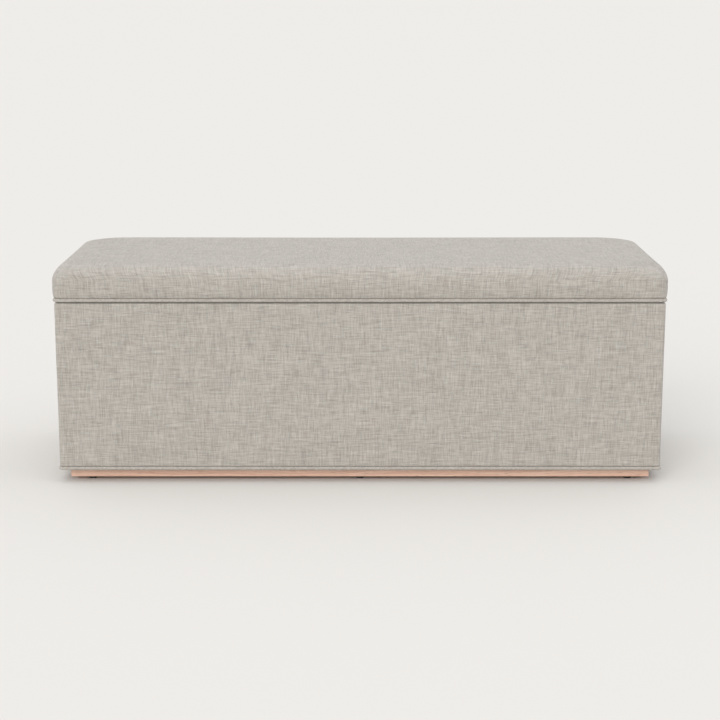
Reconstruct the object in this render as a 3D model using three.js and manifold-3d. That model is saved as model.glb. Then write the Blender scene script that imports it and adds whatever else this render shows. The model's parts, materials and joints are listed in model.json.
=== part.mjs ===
// A long upholstered storage ottoman: a fabric-covered box on a low oak plinth,
// closed by a padded, hinged lid that two gas struts hold open.
//
// Millimetres. +Z is up, +X runs along the length, the front faces -Y.
// The origin is on the floor, under the middle of the box.

import * as THREE from 'three';
import { mergeVertices } from 'three/addons/utils/BufferGeometryUtils.js';
import Module from 'manifold-3d';

// ---------------------------------------------------------------- driving dimensions

const BODY_WIDTH = 1300; // over the fabric
const BODY_DEPTH = 476; // over the fabric
const GLIDE_HEIGHT = 8;
const PLINTH_HEIGHT = 20;
const BODY_HEIGHT = 366; // from the plinth to the top edge of the box
const LID_GAP = 2.5; // closed, between the box and the lid
const PAD_BULGE = 5.5; // how far the seat pad stands out past the box
const PAD_STRAIGHT_TOP = 51; // above the middle of the gap, where the top edge starts to round
const PAD_EDGE_RADIUS = 26; // round edge of the seat
const PAD_CROWN = 2; // rise of the seat towards its middle

const BOARD = 15; // plywood of the walls and the lid
const FLOOR_BOARD = 9;
const PADDING = 5; // foam under the wall covers
const CLOTH = 1;
const PIPING_RADIUS = 4;
const CLEARANCE = 0.3; // between pieces that touch
const SLACK = 0.25; // round the cloths and the lid's board

const CORNER_RADIUS = 8; // vertical corners of the box
const CORNER_STEPS = 4;
const SEAM_SETBACK = 8; // the covers' seams lie on the ends, this far behind the round corner

const LID_OPEN_DEGREES = 75; // the struts' stroke below is worked out for this
const SIDES = [['left', -1], ['right', 1]];

// ---------------------------------------------------------------- levels and half sizes

const HALF_W = BODY_WIDTH / 2;
const HALF_D = BODY_DEPTH / 2;
const PLINTH_TOP = GLIDE_HEIGHT + PLINTH_HEIGHT;
const BODY_TOP = PLINTH_TOP + BODY_HEIGHT;
const LID_BOTTOM = BODY_TOP + LID_GAP;
const GAP_MIDDLE = BODY_TOP + LID_GAP / 2;
const WALL_BOTTOM = PLINTH_TOP + CLOTH;
const WALL_TOP = BODY_TOP - CLOTH;
const COVER_BOTTOM = PLINTH_TOP + 2 * PIPING_RADIUS + CLEARANCE;
const BOARD_X = HALF_W - CLOTH - PADDING; // outer faces of the walls
const BOARD_Y = HALF_D - CLOTH - PADDING;
const ROOM_X = BOARD_X - BOARD; // inner faces of the walls
const ROOM_Y = BOARD_Y - BOARD;

// ---------------------------------------------------------------- materials

const finish = (color, roughness, metalness = 0) => (
  new THREE.MeshStandardMaterial({ color, roughness, metalness })
);

const linen = finish('#b7b1a7', 0.95);
const liningCloth = finish('#8f8a82', 0.95);
const dustCloth = finish('#2b2a29', 0.95);
const foam = finish('#e6dfc4', 0.9);
const plywood = finish('#c9ac82', 0.7);
const oak = finish('#cfa17f', 0.6);
const plastic = finish('#2f2d2b', 0.5);
const steel = finish('#a9abad', 0.35, 0.9);
const blackPaint = finish('#1c1c1e', 0.4, 0.3);

// ---------------------------------------------------------------- building blocks

const wasm = await Module();
wasm.setup();

/** A closed geometry as a manifold solid. */
function solid(geometry) {
  const bare = geometry.clone();
  bare.deleteAttribute('normal');
  bare.deleteAttribute('uv');
  const merged = mergeVertices(bare, 1e-4);
  const vertProperties = new Float32Array(merged.attributes.position.array);
  const triVerts = new Uint32Array(merged.index.array);
  return new wasm.Manifold(new wasm.Mesh({ numProp: 3, vertProperties, triVerts }));
}

/** A manifold solid as a geometry. */
function geometryOf(manifold) {
  const { vertProperties, triVerts } = manifold.getMesh();
  const geometry = new THREE.BufferGeometry();
  geometry.setAttribute('position', new THREE.BufferAttribute(vertProperties, 3));
  geometry.setIndex(new THREE.BufferAttribute(triVerts, 1));
  geometry.computeVertexNormals();
  return geometry;
}

/** A box between two opposite corners. */
function block([x0, y0, z0], [x1, y1, z1]) {
  const geometry = new THREE.BoxGeometry(Math.abs(x1 - x0), Math.abs(y1 - y0), Math.abs(z1 - z0));
  return geometry.translate((x0 + x1) / 2, (y0 + y1) / 2, (z0 + z1) / 2);
}

/** A flat outline, given by its corners, raised from z0 to z1. */
function prism(corners, z0, z1) {
  const shape = new THREE.Shape(corners.map(([x, y]) => new THREE.Vector2(x, y)));
  const geometry = new THREE.ExtrudeGeometry(shape, { depth: z1 - z0, bevelEnabled: false });
  return geometry.translate(0, 0, z0);
}

/** A level rectangle with round corners, as points that run anticlockwise seen from above. */
function roundedRing(halfX, halfY, radius, z, steps = CORNER_STEPS) {
  const points = [];
  const centres = [[1, 1], [-1, 1], [-1, -1], [1, -1]];
  centres.forEach(([sx, sy], quarter) => {
    for (let step = 0; step <= steps; step += 1) {
      const angle = (quarter + step / steps) * Math.PI / 2;
      points.push([
        sx * (halfX - radius) + radius * Math.cos(angle),
        sy * (halfY - radius) + radius * Math.sin(angle),
        z,
      ]);
    }
  });
  return points;
}

/** Skins a run of rings with equal counts. Both ends are capped, or the last ring joins the first. */
function loft(rings, { looped = false } = {}) {
  const count = rings[0].length;
  const positions = rings.flat(2);
  const index = [];
  const bands = looped ? rings.length : rings.length - 1;
  for (let band = 0; band < bands; band += 1) {
    const low = band * count;
    const high = ((band + 1) % rings.length) * count;
    for (let i = 0; i < count; i += 1) {
      const next = (i + 1) % count;
      index.push(low + i, low + next, high + next, low + i, high + next, high + i);
    }
  }
  if (!looped) {
    const middleOf = (ring) => [0, 1, 2].map((axis) => ring.reduce((sum, p) => sum + p[axis], 0) / count);
    const last = rings.length - 1;
    const firstMiddle = positions.length / 3;
    positions.push(...middleOf(rings[0]), ...middleOf(rings[last]));
    for (let i = 0; i < count; i += 1) {
      const next = (i + 1) % count;
      index.push(firstMiddle, next, i);
      index.push(firstMiddle + 1, last * count + i, last * count + next);
    }
  }
  const geometry = new THREE.BufferGeometry();
  geometry.setAttribute('position', new THREE.Float32BufferAttribute(positions, 3));
  geometry.setIndex(index);
  geometry.computeVertexNormals();
  return geometry;
}

/** A cylinder whose axis runs along X, from x0 to x1, centred on (y, z). */
function crossBar(radius, x0, x1, y, z, sides = 12) {
  const geometry = new THREE.CylinderGeometry(radius, radius, Math.abs(x1 - x0), sides);
  return geometry.rotateZ(Math.PI / 2).translate((x0 + x1) / 2, y, z);
}

const join = (...geometries) => geometryOf(geometries.map(solid).reduce((a, b) => a.add(b)));
const cut = (geometry, ...tools) => (
  geometryOf(tools.map(solid).reduce((a, b) => a.subtract(b), solid(geometry)))
);

const ottoman = new THREE.Group();
const base = new THREE.Group();
const lid = new THREE.Group();
ottoman.add(base, lid);

function piece(group, name, geometry, material) {
  const mesh = new THREE.Mesh(geometry, material);
  mesh.name = name;
  group.add(mesh);
  return mesh;
}

// ---------------------------------------------------------------- the box: boards, floor, cleats

const CLEAT_WIDTH = 20;
const FLOOR_BOTTOM = 50;
const FLOOR_TOP = FLOOR_BOTTOM + FLOOR_BOARD;

piece(base, 'front_board', block([-BOARD_X, -BOARD_Y, WALL_BOTTOM], [BOARD_X, -ROOM_Y, WALL_TOP]), plywood);
piece(base, 'back_board', block([-BOARD_X, ROOM_Y, WALL_BOTTOM], [BOARD_X, BOARD_Y, WALL_TOP]), plywood);
piece(base, 'left_board', block([-BOARD_X, -ROOM_Y, WALL_BOTTOM], [-ROOM_X, ROOM_Y, WALL_TOP]), plywood);
piece(base, 'right_board', block([ROOM_X, -ROOM_Y, WALL_BOTTOM], [BOARD_X, ROOM_Y, WALL_TOP]), plywood);
piece(base, 'floor_board', block([-ROOM_X, -ROOM_Y, FLOOR_BOTTOM], [ROOM_X, ROOM_Y, FLOOR_TOP]), plywood);

const shortCleatEnd = ROOM_Y - CLEAT_WIDTH;
const shortCleatEdge = ROOM_X - CLEAT_WIDTH;
const cleat = (name, low, high) => (
  piece(base, name, block([...low, WALL_BOTTOM], [...high, FLOOR_BOTTOM]), plywood)
);
cleat('front_cleat', [-ROOM_X, -ROOM_Y], [ROOM_X, -shortCleatEnd]);
cleat('back_cleat', [-ROOM_X, shortCleatEnd], [ROOM_X, ROOM_Y]);
cleat('left_cleat', [-ROOM_X, -shortCleatEnd], [-shortCleatEdge, shortCleatEnd]);
cleat('right_cleat', [shortCleatEdge, -shortCleatEnd], [ROOM_X, shortCleatEnd]);

// ---------------------------------------------------------------- padding over the walls

const paddingX = HALF_W - CLOTH;
const paddingY = HALF_D - CLOTH;
const paddingRing = cut(
  loft([COVER_BOTTOM, WALL_TOP].map((z) => roundedRing(paddingX, paddingY, CORNER_RADIUS - CLOTH, z))),
  block([-BOARD_X, -BOARD_Y, 0], [BOARD_X, BOARD_Y, BODY_TOP]),
);

/** The part of the padding ring inside a box in plan. */
function paddingPiece(name, [x0, y0], [x1, y1]) {
  const kept = solid(paddingRing).intersect(solid(block([x0, y0, 0], [x1, y1, BODY_TOP])));
  piece(base, name, geometryOf(kept), foam);
}
const endPaddingReach = BOARD_Y - CLEARANCE;
paddingPiece('front_padding', [-HALF_W, -HALF_D], [HALF_W, -BOARD_Y]);
paddingPiece('back_padding', [-HALF_W, BOARD_Y], [HALF_W, HALF_D]);
paddingPiece('left_padding', [-HALF_W, -endPaddingReach], [-BOARD_X, endPaddingReach]);
paddingPiece('right_padding', [BOARD_X, -endPaddingReach], [HALF_W, endPaddingReach]);

// ---------------------------------------------------------------- fabric covers of the walls

// Each cover hangs down the outside, turns over the top edge and ends inside the box.
const COVER_RETURN = 31; // how far it hangs down inside
const returnBottom = BODY_TOP - COVER_RETURN;
const returnX = ROOM_X - CLOTH;
const returnY = ROOM_Y - CLOTH;

const outerBlock = loft([COVER_BOTTOM, BODY_TOP].map((z) => roundedRing(HALF_W, HALF_D, CORNER_RADIUS, z)));
const wallAndPadding = cut(
  loft([0, WALL_TOP].map((z) => roundedRing(paddingX, paddingY, CORNER_RADIUS - CLOTH, z))),
  block([-ROOM_X, -ROOM_Y, -1], [ROOM_X, ROOM_Y, BODY_TOP]),
);
const coverRing = cut(
  outerBlock,
  wallAndPadding,
  block([-returnX, -returnY, 0], [returnX, returnY, BODY_TOP + 1]),
  block([-ROOM_X, -ROOM_Y, 0], [ROOM_X, ROOM_Y, returnBottom]),
);

/** The long sides' share of the cover ring: round the corners to the end seams, mitred over the top. */
function longShare(side, gap) {
  const seamY = HALF_D - CORNER_RADIUS - SEAM_SETBACK - gap;
  const jogX = HALF_W - CORNER_RADIUS / 2 - gap;
  const mitre = (x) => HALF_D - (HALF_W - x) - gap * Math.SQRT2;
  const reachX = returnX - 2 * CLEAT_WIDTH;
  const half = [
    [HALF_W + 1, HALF_D + 1],
    [HALF_W + 1, seamY],
    [jogX, seamY],
    [jogX, mitre(jogX)],
    [reachX, mitre(reachX)],
  ];
  const corners = [...half, ...half.map(([x, y]) => [-x, y]).reverse()];
  return prism(corners.map(([x, y]) => [x, side * y]), 0, BODY_TOP + 1);
}

const longShares = { front: -1, back: 1 };
Object.entries(longShares).forEach(([name, side]) => {
  const cover = solid(coverRing).intersect(solid(longShare(side, 0)));
  piece(base, `${name}_cover`, geometryOf(cover), linen);
});
const endCovers = cut(coverRing, longShare(-1, CLEARANCE), longShare(1, CLEARANCE));
SIDES.forEach(([name, sign]) => {
  const half = block([0, -HALF_D - 1, 0], [sign * (HALF_W + 1), HALF_D + 1, BODY_TOP + 1]);
  const cover = solid(endCovers).intersect(solid(half));
  piece(base, `${name}_cover`, geometryOf(cover), linen);
});

// ---------------------------------------------------------------- piping

const PIPING_SIDES = 8;

/** A round cord laid round a rectangle; tipX and tipY are how far its outer edge reaches. */
function pipingLoop(tipX, tipY, cornerRadius, centreZ) {
  const rings = [];
  for (let side = 0; side < PIPING_SIDES; side += 1) {
    const angle = (side + 0.5) / PIPING_SIDES * 2 * Math.PI;
    const inset = PIPING_RADIUS * (1 - Math.cos(angle));
    const z = centreZ + PIPING_RADIUS * Math.sin(angle);
    rings.push(roundedRing(tipX - inset, tipY - inset, cornerRadius - inset, z));
  }
  return loft(rings, { looped: true });
}

const BASE_PIPING_CORNER = 2 * PIPING_RADIUS + CLEARANCE / 2; // tight round the boards' square corners
const LID_PIPING_CORNER = 14;
const LID_PIPING_PROUD = 3; // past the box
const basePipingProud = 2 * PIPING_RADIUS + CLEARANCE - PADDING - CLOTH;
const basePiping = pipingLoop(
  HALF_W + basePipingProud,
  HALF_D + basePipingProud,
  BASE_PIPING_CORNER,
  PLINTH_TOP + PIPING_RADIUS,
);
piece(base, 'base_piping', basePiping, linen);

const lidPiping = pipingLoop(
  HALF_W + LID_PIPING_PROUD,
  HALF_D + LID_PIPING_PROUD,
  LID_PIPING_CORNER,
  LID_BOTTOM + PIPING_RADIUS,
);
piece(lid, 'lid_piping', lidPiping, linen);

// ---------------------------------------------------------------- lining bag and dust cover

const LINING = 0.8;
const LINING_CORNER = 4;
const liningX = ROOM_X - SLACK;
const liningY = ROOM_Y - SLACK;
const liningTop = returnBottom - CLEARANCE;
const liningFloor = FLOOR_TOP + SLACK;
const liningRings = [
  roundedRing(liningX, liningY, LINING_CORNER, liningFloor),
  roundedRing(liningX, liningY, LINING_CORNER, liningTop),
  roundedRing(liningX - LINING, liningY - LINING, LINING_CORNER - LINING, liningTop),
  roundedRing(liningX - LINING, liningY - LINING, LINING_CORNER - LINING, liningFloor + LINING),
];
piece(base, 'lining', loft(liningRings), liningCloth);

const DUST_COVER = 0.5;
const dustBottom = PLINTH_TOP + SLACK;
const dustCover = block(
  [-BOARD_X + 1, -BOARD_Y + 1, dustBottom],
  [BOARD_X - 1, BOARD_Y - 1, dustBottom + DUST_COVER],
);
piece(base, 'dust_cover', dustCover, dustCloth);

// ---------------------------------------------------------------- plinth and glides

const PLINTH_INSET = 21; // behind the fabric
const RAIL_WIDTH = 45;
const MITRE_GAP = 0.2;
const plinthX = HALF_W - PLINTH_INSET;
const plinthY = HALF_D - PLINTH_INSET;

/** One mitred rail along X, its outer face at y = reach; span is half its outer length. */
function rail(span, reach) {
  const corners = [
    [-span, reach],
    [-span + RAIL_WIDTH, reach - RAIL_WIDTH],
    [span - RAIL_WIDTH, reach - RAIL_WIDTH],
    [span, reach],
  ];
  return prism(corners, GLIDE_HEIGHT, PLINTH_TOP);
}
[['back', 0], ['left', 1], ['front', 2], ['right', 3]].forEach(([name, quarter]) => {
  const isLong = quarter % 2 === 0;
  const span = (isLong ? plinthX : plinthY) - MITRE_GAP;
  const reach = isLong ? plinthY : plinthX;
  const mesh = piece(base, `${name}_plinth_rail`, rail(span, reach), oak);
  mesh.rotation.z = quarter * Math.PI / 2;
});

const GLIDE_RADIUS = 9;
const GLIDE_FOOT_RADIUS = 7.5;
const GLIDE_CHAMFER = 1.5;
const GLIDE_SPACING = 585;
const glideY = plinthY - RAIL_WIDTH / 2;
const glideProfile = [
  [0, 0],
  [GLIDE_FOOT_RADIUS, 0],
  [GLIDE_RADIUS, GLIDE_CHAMFER],
  [GLIDE_RADIUS, GLIDE_HEIGHT],
  [0, GLIDE_HEIGHT],
].map(([r, z]) => new THREE.Vector2(r, z));
const glideGeometry = new THREE.LatheGeometry(glideProfile, 20).rotateX(Math.PI / 2);

[['front', -1], ['back', 1]].forEach(([row, ySign]) => {
  [['left', -1], ['middle', 0], ['right', 1]].forEach(([column, xSign]) => {
    const mesh = piece(base, `${row}_${column}_glide`, glideGeometry, plastic);
    mesh.position.set(xSign * GLIDE_SPACING, ySign * glideY, 0);
  });
});

// ---------------------------------------------------------------- lid: lining, board, foam, seat cover

const LID_CLOTH = 0.5;
const lidBoardBottom = LID_BOTTOM + LID_CLOTH;
const lidBoardTop = lidBoardBottom + BOARD;
const lidBoardX = HALF_W + LID_PIPING_PROUD - 2 * PIPING_RADIUS - SLACK;
const lidBoardY = HALF_D + LID_PIPING_PROUD - 2 * PIPING_RADIUS - SLACK;
const LID_CLOTH_INSET = 14;

const lidLining = block(
  [-lidBoardX + LID_CLOTH_INSET, -lidBoardY + LID_CLOTH_INSET, LID_BOTTOM],
  [lidBoardX - LID_CLOTH_INSET, lidBoardY - LID_CLOTH_INSET, lidBoardBottom],
);
piece(lid, 'lid_lining', lidLining, liningCloth);
const lidBoardCorner = LID_PIPING_CORNER - 2 * PIPING_RADIUS;
const lidBoardRings = [lidBoardBottom, lidBoardTop].map((z) => (
  roundedRing(lidBoardX, lidBoardY, lidBoardCorner, z)
));
piece(lid, 'lid_board', loft(lidBoardRings), plywood);

// The pad's side: a lower quarter of an ellipse from the seam out to the widest line,
// a short upright stretch, then a round top edge. Its corners soften towards the top.
const PAD_LOWER_MIDDLE = 38; // above the middle of the gap, height of the widest line
const PAD_LOWER_HEIGHT = 30;
const SEAM_HEIGHT = 9.5; // above the middle of the gap, just over the piping
const SEAM_CORNER = 14;
const WIDEST_CORNER = 26;
const TOP_CORNER = 66;
const LOWER_STEPS = 4;
const EDGE_STEPS = 6;
const CROWN_RINGS = [0.3, 0.7]; // shares of the way from the round edge to the middle

/** The pad's outline on a vertical cut, as [inset from the widest line, height, corner radius]. */
function padProfile() {
  const profile = [];
  for (let step = 0; step <= LOWER_STEPS; step += 1) {
    const share = step / LOWER_STEPS;
    const height = SEAM_HEIGHT + (PAD_LOWER_MIDDLE - SEAM_HEIGHT) * share;
    const below = (PAD_LOWER_MIDDLE - height) / PAD_LOWER_HEIGHT;
    const inset = PAD_BULGE * (1 - Math.sqrt(1 - below * below));
    profile.push([inset, height, SEAM_CORNER + (WIDEST_CORNER - SEAM_CORNER) * share]);
  }
  for (let step = 0; step <= EDGE_STEPS; step += 1) {
    const angle = step / EDGE_STEPS * Math.PI / 2;
    const inset = PAD_EDGE_RADIUS * (1 - Math.cos(angle));
    const height = PAD_STRAIGHT_TOP + PAD_EDGE_RADIUS * Math.sin(angle);
    profile.push([inset, height, WIDEST_CORNER + (TOP_CORNER - WIDEST_CORNER) * Math.sin(angle)]);
  }
  return profile;
}

/** Rings of the pad's surface, moved inwards by an offset, from the seam up to the crown. */
function padRings(offset) {
  const reachX = HALF_W + PAD_BULGE - offset;
  const reachY = HALF_D + PAD_BULGE - offset;
  const rings = padProfile().map(([inset, height, corner], i, all) => {
    const share = i / (all.length - 1);
    const z = GAP_MIDDLE + height - offset * share;
    return roundedRing(reachX - inset, reachY - inset, corner - offset / 2, z);
  });
  const edgeZ = GAP_MIDDLE + PAD_STRAIGHT_TOP + PAD_EDGE_RADIUS - offset;
  CROWN_RINGS.forEach((share) => {
    const inset = PAD_EDGE_RADIUS + share * (reachY - PAD_EDGE_RADIUS);
    const z = edgeZ + PAD_CROWN * Math.sin(share / CROWN_RINGS.at(-1) * Math.PI / 2);
    rings.push(roundedRing(reachX - inset, reachY - inset, TOP_CORNER * (1 - share), z));
  });
  return rings;
}

const seatCover = loft([...padRings(CLOTH).reverse(), ...padRings(0)]);
piece(lid, 'seat_cover', seatCover, linen);

// The foam has a rebate underneath that drops over the lid board.
const foamRings = padRings(CLOTH + CLEARANCE);
const rebateX = lidBoardX + CLEARANCE;
const rebateY = lidBoardY + CLEARANCE;
const rebateBottom = foamRings[0][0][2];
const rebateRings = [lidBoardTop + SLACK, rebateBottom].map((z) => (
  roundedRing(rebateX, rebateY, lidBoardCorner, z)
));
piece(lid, 'seat_foam', loft([...rebateRings, ...foamRings]), foam);

// Two soft bumpers under the board's front corners meet the middle of the walls' top edge.
const BUMPER_RADIUS = 5;
const bumperTop = lidBoardBottom;
const bumperBottom = BODY_TOP + CLEARANCE;
const wallMiddle = (HALF_W - returnX) / 2;
const bumperProfile = [
  [0, bumperBottom],
  [BUMPER_RADIUS - 1, bumperBottom],
  [BUMPER_RADIUS, bumperBottom + 1],
  [BUMPER_RADIUS, bumperTop],
  [0, bumperTop],
].map(([r, z]) => new THREE.Vector2(r, z));
const bumperGeometry = new THREE.LatheGeometry(bumperProfile, 16).rotateX(Math.PI / 2);
SIDES.forEach(([name, sign]) => {
  const mesh = piece(lid, `${name}_bumper`, bumperGeometry, plastic);
  mesh.position.set(sign * (HALF_W - wallMiddle), wallMiddle - HALF_D, 0);
});

// ---------------------------------------------------------------- hinges

const HINGE_LENGTH = 76;
const HINGE_SPACING = 430;
const KNUCKLES = 5;
const KNUCKLE_GAP = 0.3;
const KNUCKLE_RADIUS = 2.375;
const LEAF = 1;
const LEAF_LIFT = 0.125; // off the cloth that the leaf lies on
const LEAF_DEPTH = 20; // from the back face of the box forwards
const PIN_RADIUS = 1;
const PIN_BORE = 1.06;
const HINGE_Y = HALF_D + PAD_BULGE - KNUCKLE_RADIUS;
const knucklePitch = HINGE_LENGTH / KNUCKLES;

/** A hinge leaf with its share of the knuckles: z0 and z1 bound the leaf, first is its first knuckle. */
function hingeLeaf(centreX, z0, z1, first) {
  const left = centreX - HINGE_LENGTH / 2;
  let leaf = solid(block([left, HALF_D - LEAF_DEPTH, z0], [left + HINGE_LENGTH, HINGE_Y, z1]));
  for (let i = 0; i < KNUCKLES; i += 1) {
    const x0 = left + i * knucklePitch;
    const x1 = x0 + knucklePitch;
    if (i % 2 === first) {
      const inset = KNUCKLE_GAP / 2;
      leaf = leaf.add(solid(crossBar(KNUCKLE_RADIUS, x0 + inset, x1 - inset, HINGE_Y, GAP_MIDDLE, 16)));
    } else {
      const reach = KNUCKLE_RADIUS + KNUCKLE_GAP;
      leaf = leaf.subtract(solid(block(
        [x0 - KNUCKLE_GAP / 2, HINGE_Y - reach, GAP_MIDDLE - reach],
        [x1 + KNUCKLE_GAP / 2, HINGE_Y + reach, GAP_MIDDLE + reach],
      )));
    }
  }
  const bore = crossBar(PIN_BORE, left - 1, left + HINGE_LENGTH + 1, HINGE_Y, GAP_MIDDLE, 16);
  leaf = leaf.subtract(solid(bore));
  return geometryOf(leaf);
}

[['left', -1], ['middle', 0], ['right', 1]].forEach(([name, sign]) => {
  const x = sign * HINGE_SPACING;
  const baseLeaf = hingeLeaf(x, BODY_TOP + LEAF_LIFT, BODY_TOP + LEAF_LIFT + LEAF, 0);
  const lidLeaf = hingeLeaf(x, LID_BOTTOM - LEAF_LIFT - LEAF, LID_BOTTOM - LEAF_LIFT, 1);
  const pin = crossBar(PIN_RADIUS, x - HINGE_LENGTH / 2, x + HINGE_LENGTH / 2, HINGE_Y, GAP_MIDDLE, 16);
  piece(base, `${name}_hinge_base_leaf`, baseLeaf, steel);
  piece(base, `${name}_hinge_pin`, pin, steel);
  piece(lid, `${name}_hinge_lid_leaf`, lidLeaf, steel);
});

// ---------------------------------------------------------------- gas struts

// Both pivots are given from the hinge line: forwards, and down.
const BASE_PIVOT = { forward: 50, down: 200 };
const LID_PIVOT = { forward: 90, down: 14 };
const STRUT_X = 612;
const TUBE_RADIUS = 7.5;
const TUBE_BORE = 5.5;
const TUBE_LENGTH = 130;
const MOUTH_BORE = 3.3;
const MOUTH_LENGTH = 4;
const ROD_RADIUS = 3;
const PISTON_RADIUS = 5.2;
const PISTON_LENGTH = 8;
const BALL_RADIUS = 4;
const SHANK_RADIUS = 2.5;
const SOCKET_RADIUS = 6.5;
const SOCKET_WIDTH = 9;
const SOCKET_BORE = BALL_RADIUS + CLEARANCE;
const BRACKET = 2.25; // steel of both brackets
const PLATE_HALF = 18; // of the square plate on the box's end wall
const TAB_OFFSET = 8; // the lid bracket's tab, outside the strut's plane
const TAB_HALF = 13;
const FOOT_REACH = 8; // the lid bracket's foot, inside the strut's plane
const STUD_GAP = 0.5; // between the rod end's stud and the tab

const basePivot = new THREE.Vector2(HINGE_Y - BASE_PIVOT.forward, GAP_MIDDLE - BASE_PIVOT.down);
const lidPivot = new THREE.Vector2(HINGE_Y - LID_PIVOT.forward, GAP_MIDDLE - LID_PIVOT.down);
const strutRun = lidPivot.clone().sub(basePivot);
const closedLength = strutRun.length();
const strutLean = Math.atan2(-strutRun.x, strutRun.y); // forwards from upright

const openTurn = THREE.MathUtils.degToRad(LID_OPEN_DEGREES);
const openLidPivot = new THREE.Vector2(
  HINGE_Y - LID_PIVOT.forward * Math.cos(openTurn) - LID_PIVOT.down * Math.sin(openTurn),
  GAP_MIDDLE + LID_PIVOT.forward * Math.sin(openTurn) - LID_PIVOT.down * Math.cos(openTurn),
);
const stroke = openLidPivot.distanceTo(basePivot) - closedLength;

const plateOffset = liningX - LINING - SLACK - BRACKET - STRUT_X;
const tabBottom = lidPivot.y - SOCKET_RADIUS - 1;
const footTop = LID_BOTTOM - SLACK;
const tubeStart = SOCKET_RADIUS - 1;
const tubeEnd = tubeStart + TUBE_LENGTH;
const rodEnd = closedLength - SOCKET_RADIUS + 1;
const pistonStart = tubeEnd - MOUTH_LENGTH - 2 * PISTON_LENGTH - stroke;

/** A turned shape whose axis runs up the strut, from [radius, distance] pairs. */
function turned(profile, sides = 16) {
  const points = profile.map(([r, d]) => new THREE.Vector2(r, d));
  return new THREE.LatheGeometry(points, sides).rotateX(Math.PI / 2);
}

/** A socket round a pivot, open on the side that faces a bracket. */
function socket(distance, sign) {
  const body = crossBar(SOCKET_RADIUS, -SOCKET_WIDTH / 2, SOCKET_WIDTH / 2, 0, distance, 16);
  const ballSpace = new THREE.SphereGeometry(SOCKET_BORE, 16, 10).translate(0, 0, distance);
  const mouthSpace = crossBar(SHANK_RADIUS + 2 * CLEARANCE, 0, sign * SOCKET_WIDTH, 0, distance, 16);
  return { body, hollow: [ballSpace, mouthSpace] };
}

/** A ball on a shank that runs along X to reach. */
function ballStud(reach, distance) {
  const ball = new THREE.SphereGeometry(BALL_RADIUS, 16, 10).translate(0, 0, distance);
  return [ball, crossBar(SHANK_RADIUS, 0, reach, 0, distance)];
}

SIDES.forEach(([side, sign]) => {
  const strut = new THREE.Group();
  strut.position.set(sign * STRUT_X, basePivot.x, basePivot.y);
  strut.rotation.x = strutLean;
  base.add(strut);

  const tubeSocket = socket(0, sign);
  const socketGeometry = cut(
    tubeSocket.body,
    ...tubeSocket.hollow,
    block(
      [-SOCKET_WIDTH, -SOCKET_WIDTH, tubeStart],
      [SOCKET_WIDTH, SOCKET_WIDTH, tubeStart + SOCKET_WIDTH],
    ),
  );
  piece(strut, `${side}_strut_tube_socket`, socketGeometry, plastic);

  const tube = turned([
    [0, tubeStart + CLEARANCE],
    [TUBE_RADIUS, tubeStart + CLEARANCE],
    [TUBE_RADIUS, tubeEnd],
    [MOUTH_BORE, tubeEnd],
    [MOUTH_BORE, tubeEnd - MOUTH_LENGTH],
    [TUBE_BORE, tubeEnd - MOUTH_LENGTH],
    [TUBE_BORE, tubeStart + 2 * MOUTH_LENGTH],
    [0, tubeStart + 2 * MOUTH_LENGTH],
  ]);
  piece(strut, `${side}_strut_tube`, tube, blackPaint);

  const rod = turned([
    [0, pistonStart],
    [PISTON_RADIUS, pistonStart],
    [PISTON_RADIUS, pistonStart + PISTON_LENGTH],
    [ROD_RADIUS, pistonStart + PISTON_LENGTH],
    [ROD_RADIUS, rodEnd - CLEARANCE],
    [0, rodEnd - CLEARANCE],
  ]);
  piece(strut, `${side}_strut_rod`, rod, steel);

  // The lid end's socket and its captive ball stud are one piece.
  // The stud stops short of the lid's bracket.
  const rodSocket = crossBar(SOCKET_RADIUS, -SOCKET_WIDTH / 2, SOCKET_WIDTH / 2, 0, closedLength, 16);
  const lidStud = ballStud(sign * (TAB_OFFSET - STUD_GAP), closedLength);
  const rodEndCap = cut(
    join(rodSocket, ...lidStud),
    block([-SOCKET_WIDTH, -SOCKET_WIDTH, rodEnd - SOCKET_WIDTH], [SOCKET_WIDTH, SOCKET_WIDTH, rodEnd]),
  );
  piece(strut, `${side}_strut_rod_end`, rodEndCap, plastic);

  const plateX = sign * (plateOffset + BRACKET);
  const plate = block([sign * plateOffset, -PLATE_HALF, -PLATE_HALF], [plateX, PLATE_HALF, PLATE_HALF]);
  const baseBracket = join(plate, ...ballStud(sign * (plateOffset + 1), 0));
  const bracketMesh = piece(base, `${side}_strut_base_bracket`, baseBracket, steel);
  bracketMesh.position.copy(strut.position);

  const outerX = sign * (STRUT_X + TAB_OFFSET + BRACKET);
  const tabX = sign * (STRUT_X + TAB_OFFSET);
  const footX = sign * (STRUT_X - FOOT_REACH);
  const [y0, y1] = [lidPivot.x - TAB_HALF, lidPivot.x + TAB_HALF];
  const lidBracket = join(
    block([tabX, y0, tabBottom], [outerX, y1, footTop]),
    block([footX, y0, footTop - BRACKET], [outerX, y1, footTop]),
  );
  piece(lid, `${side}_strut_lid_bracket`, lidBracket, steel);
});

export default ottoman;
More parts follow.
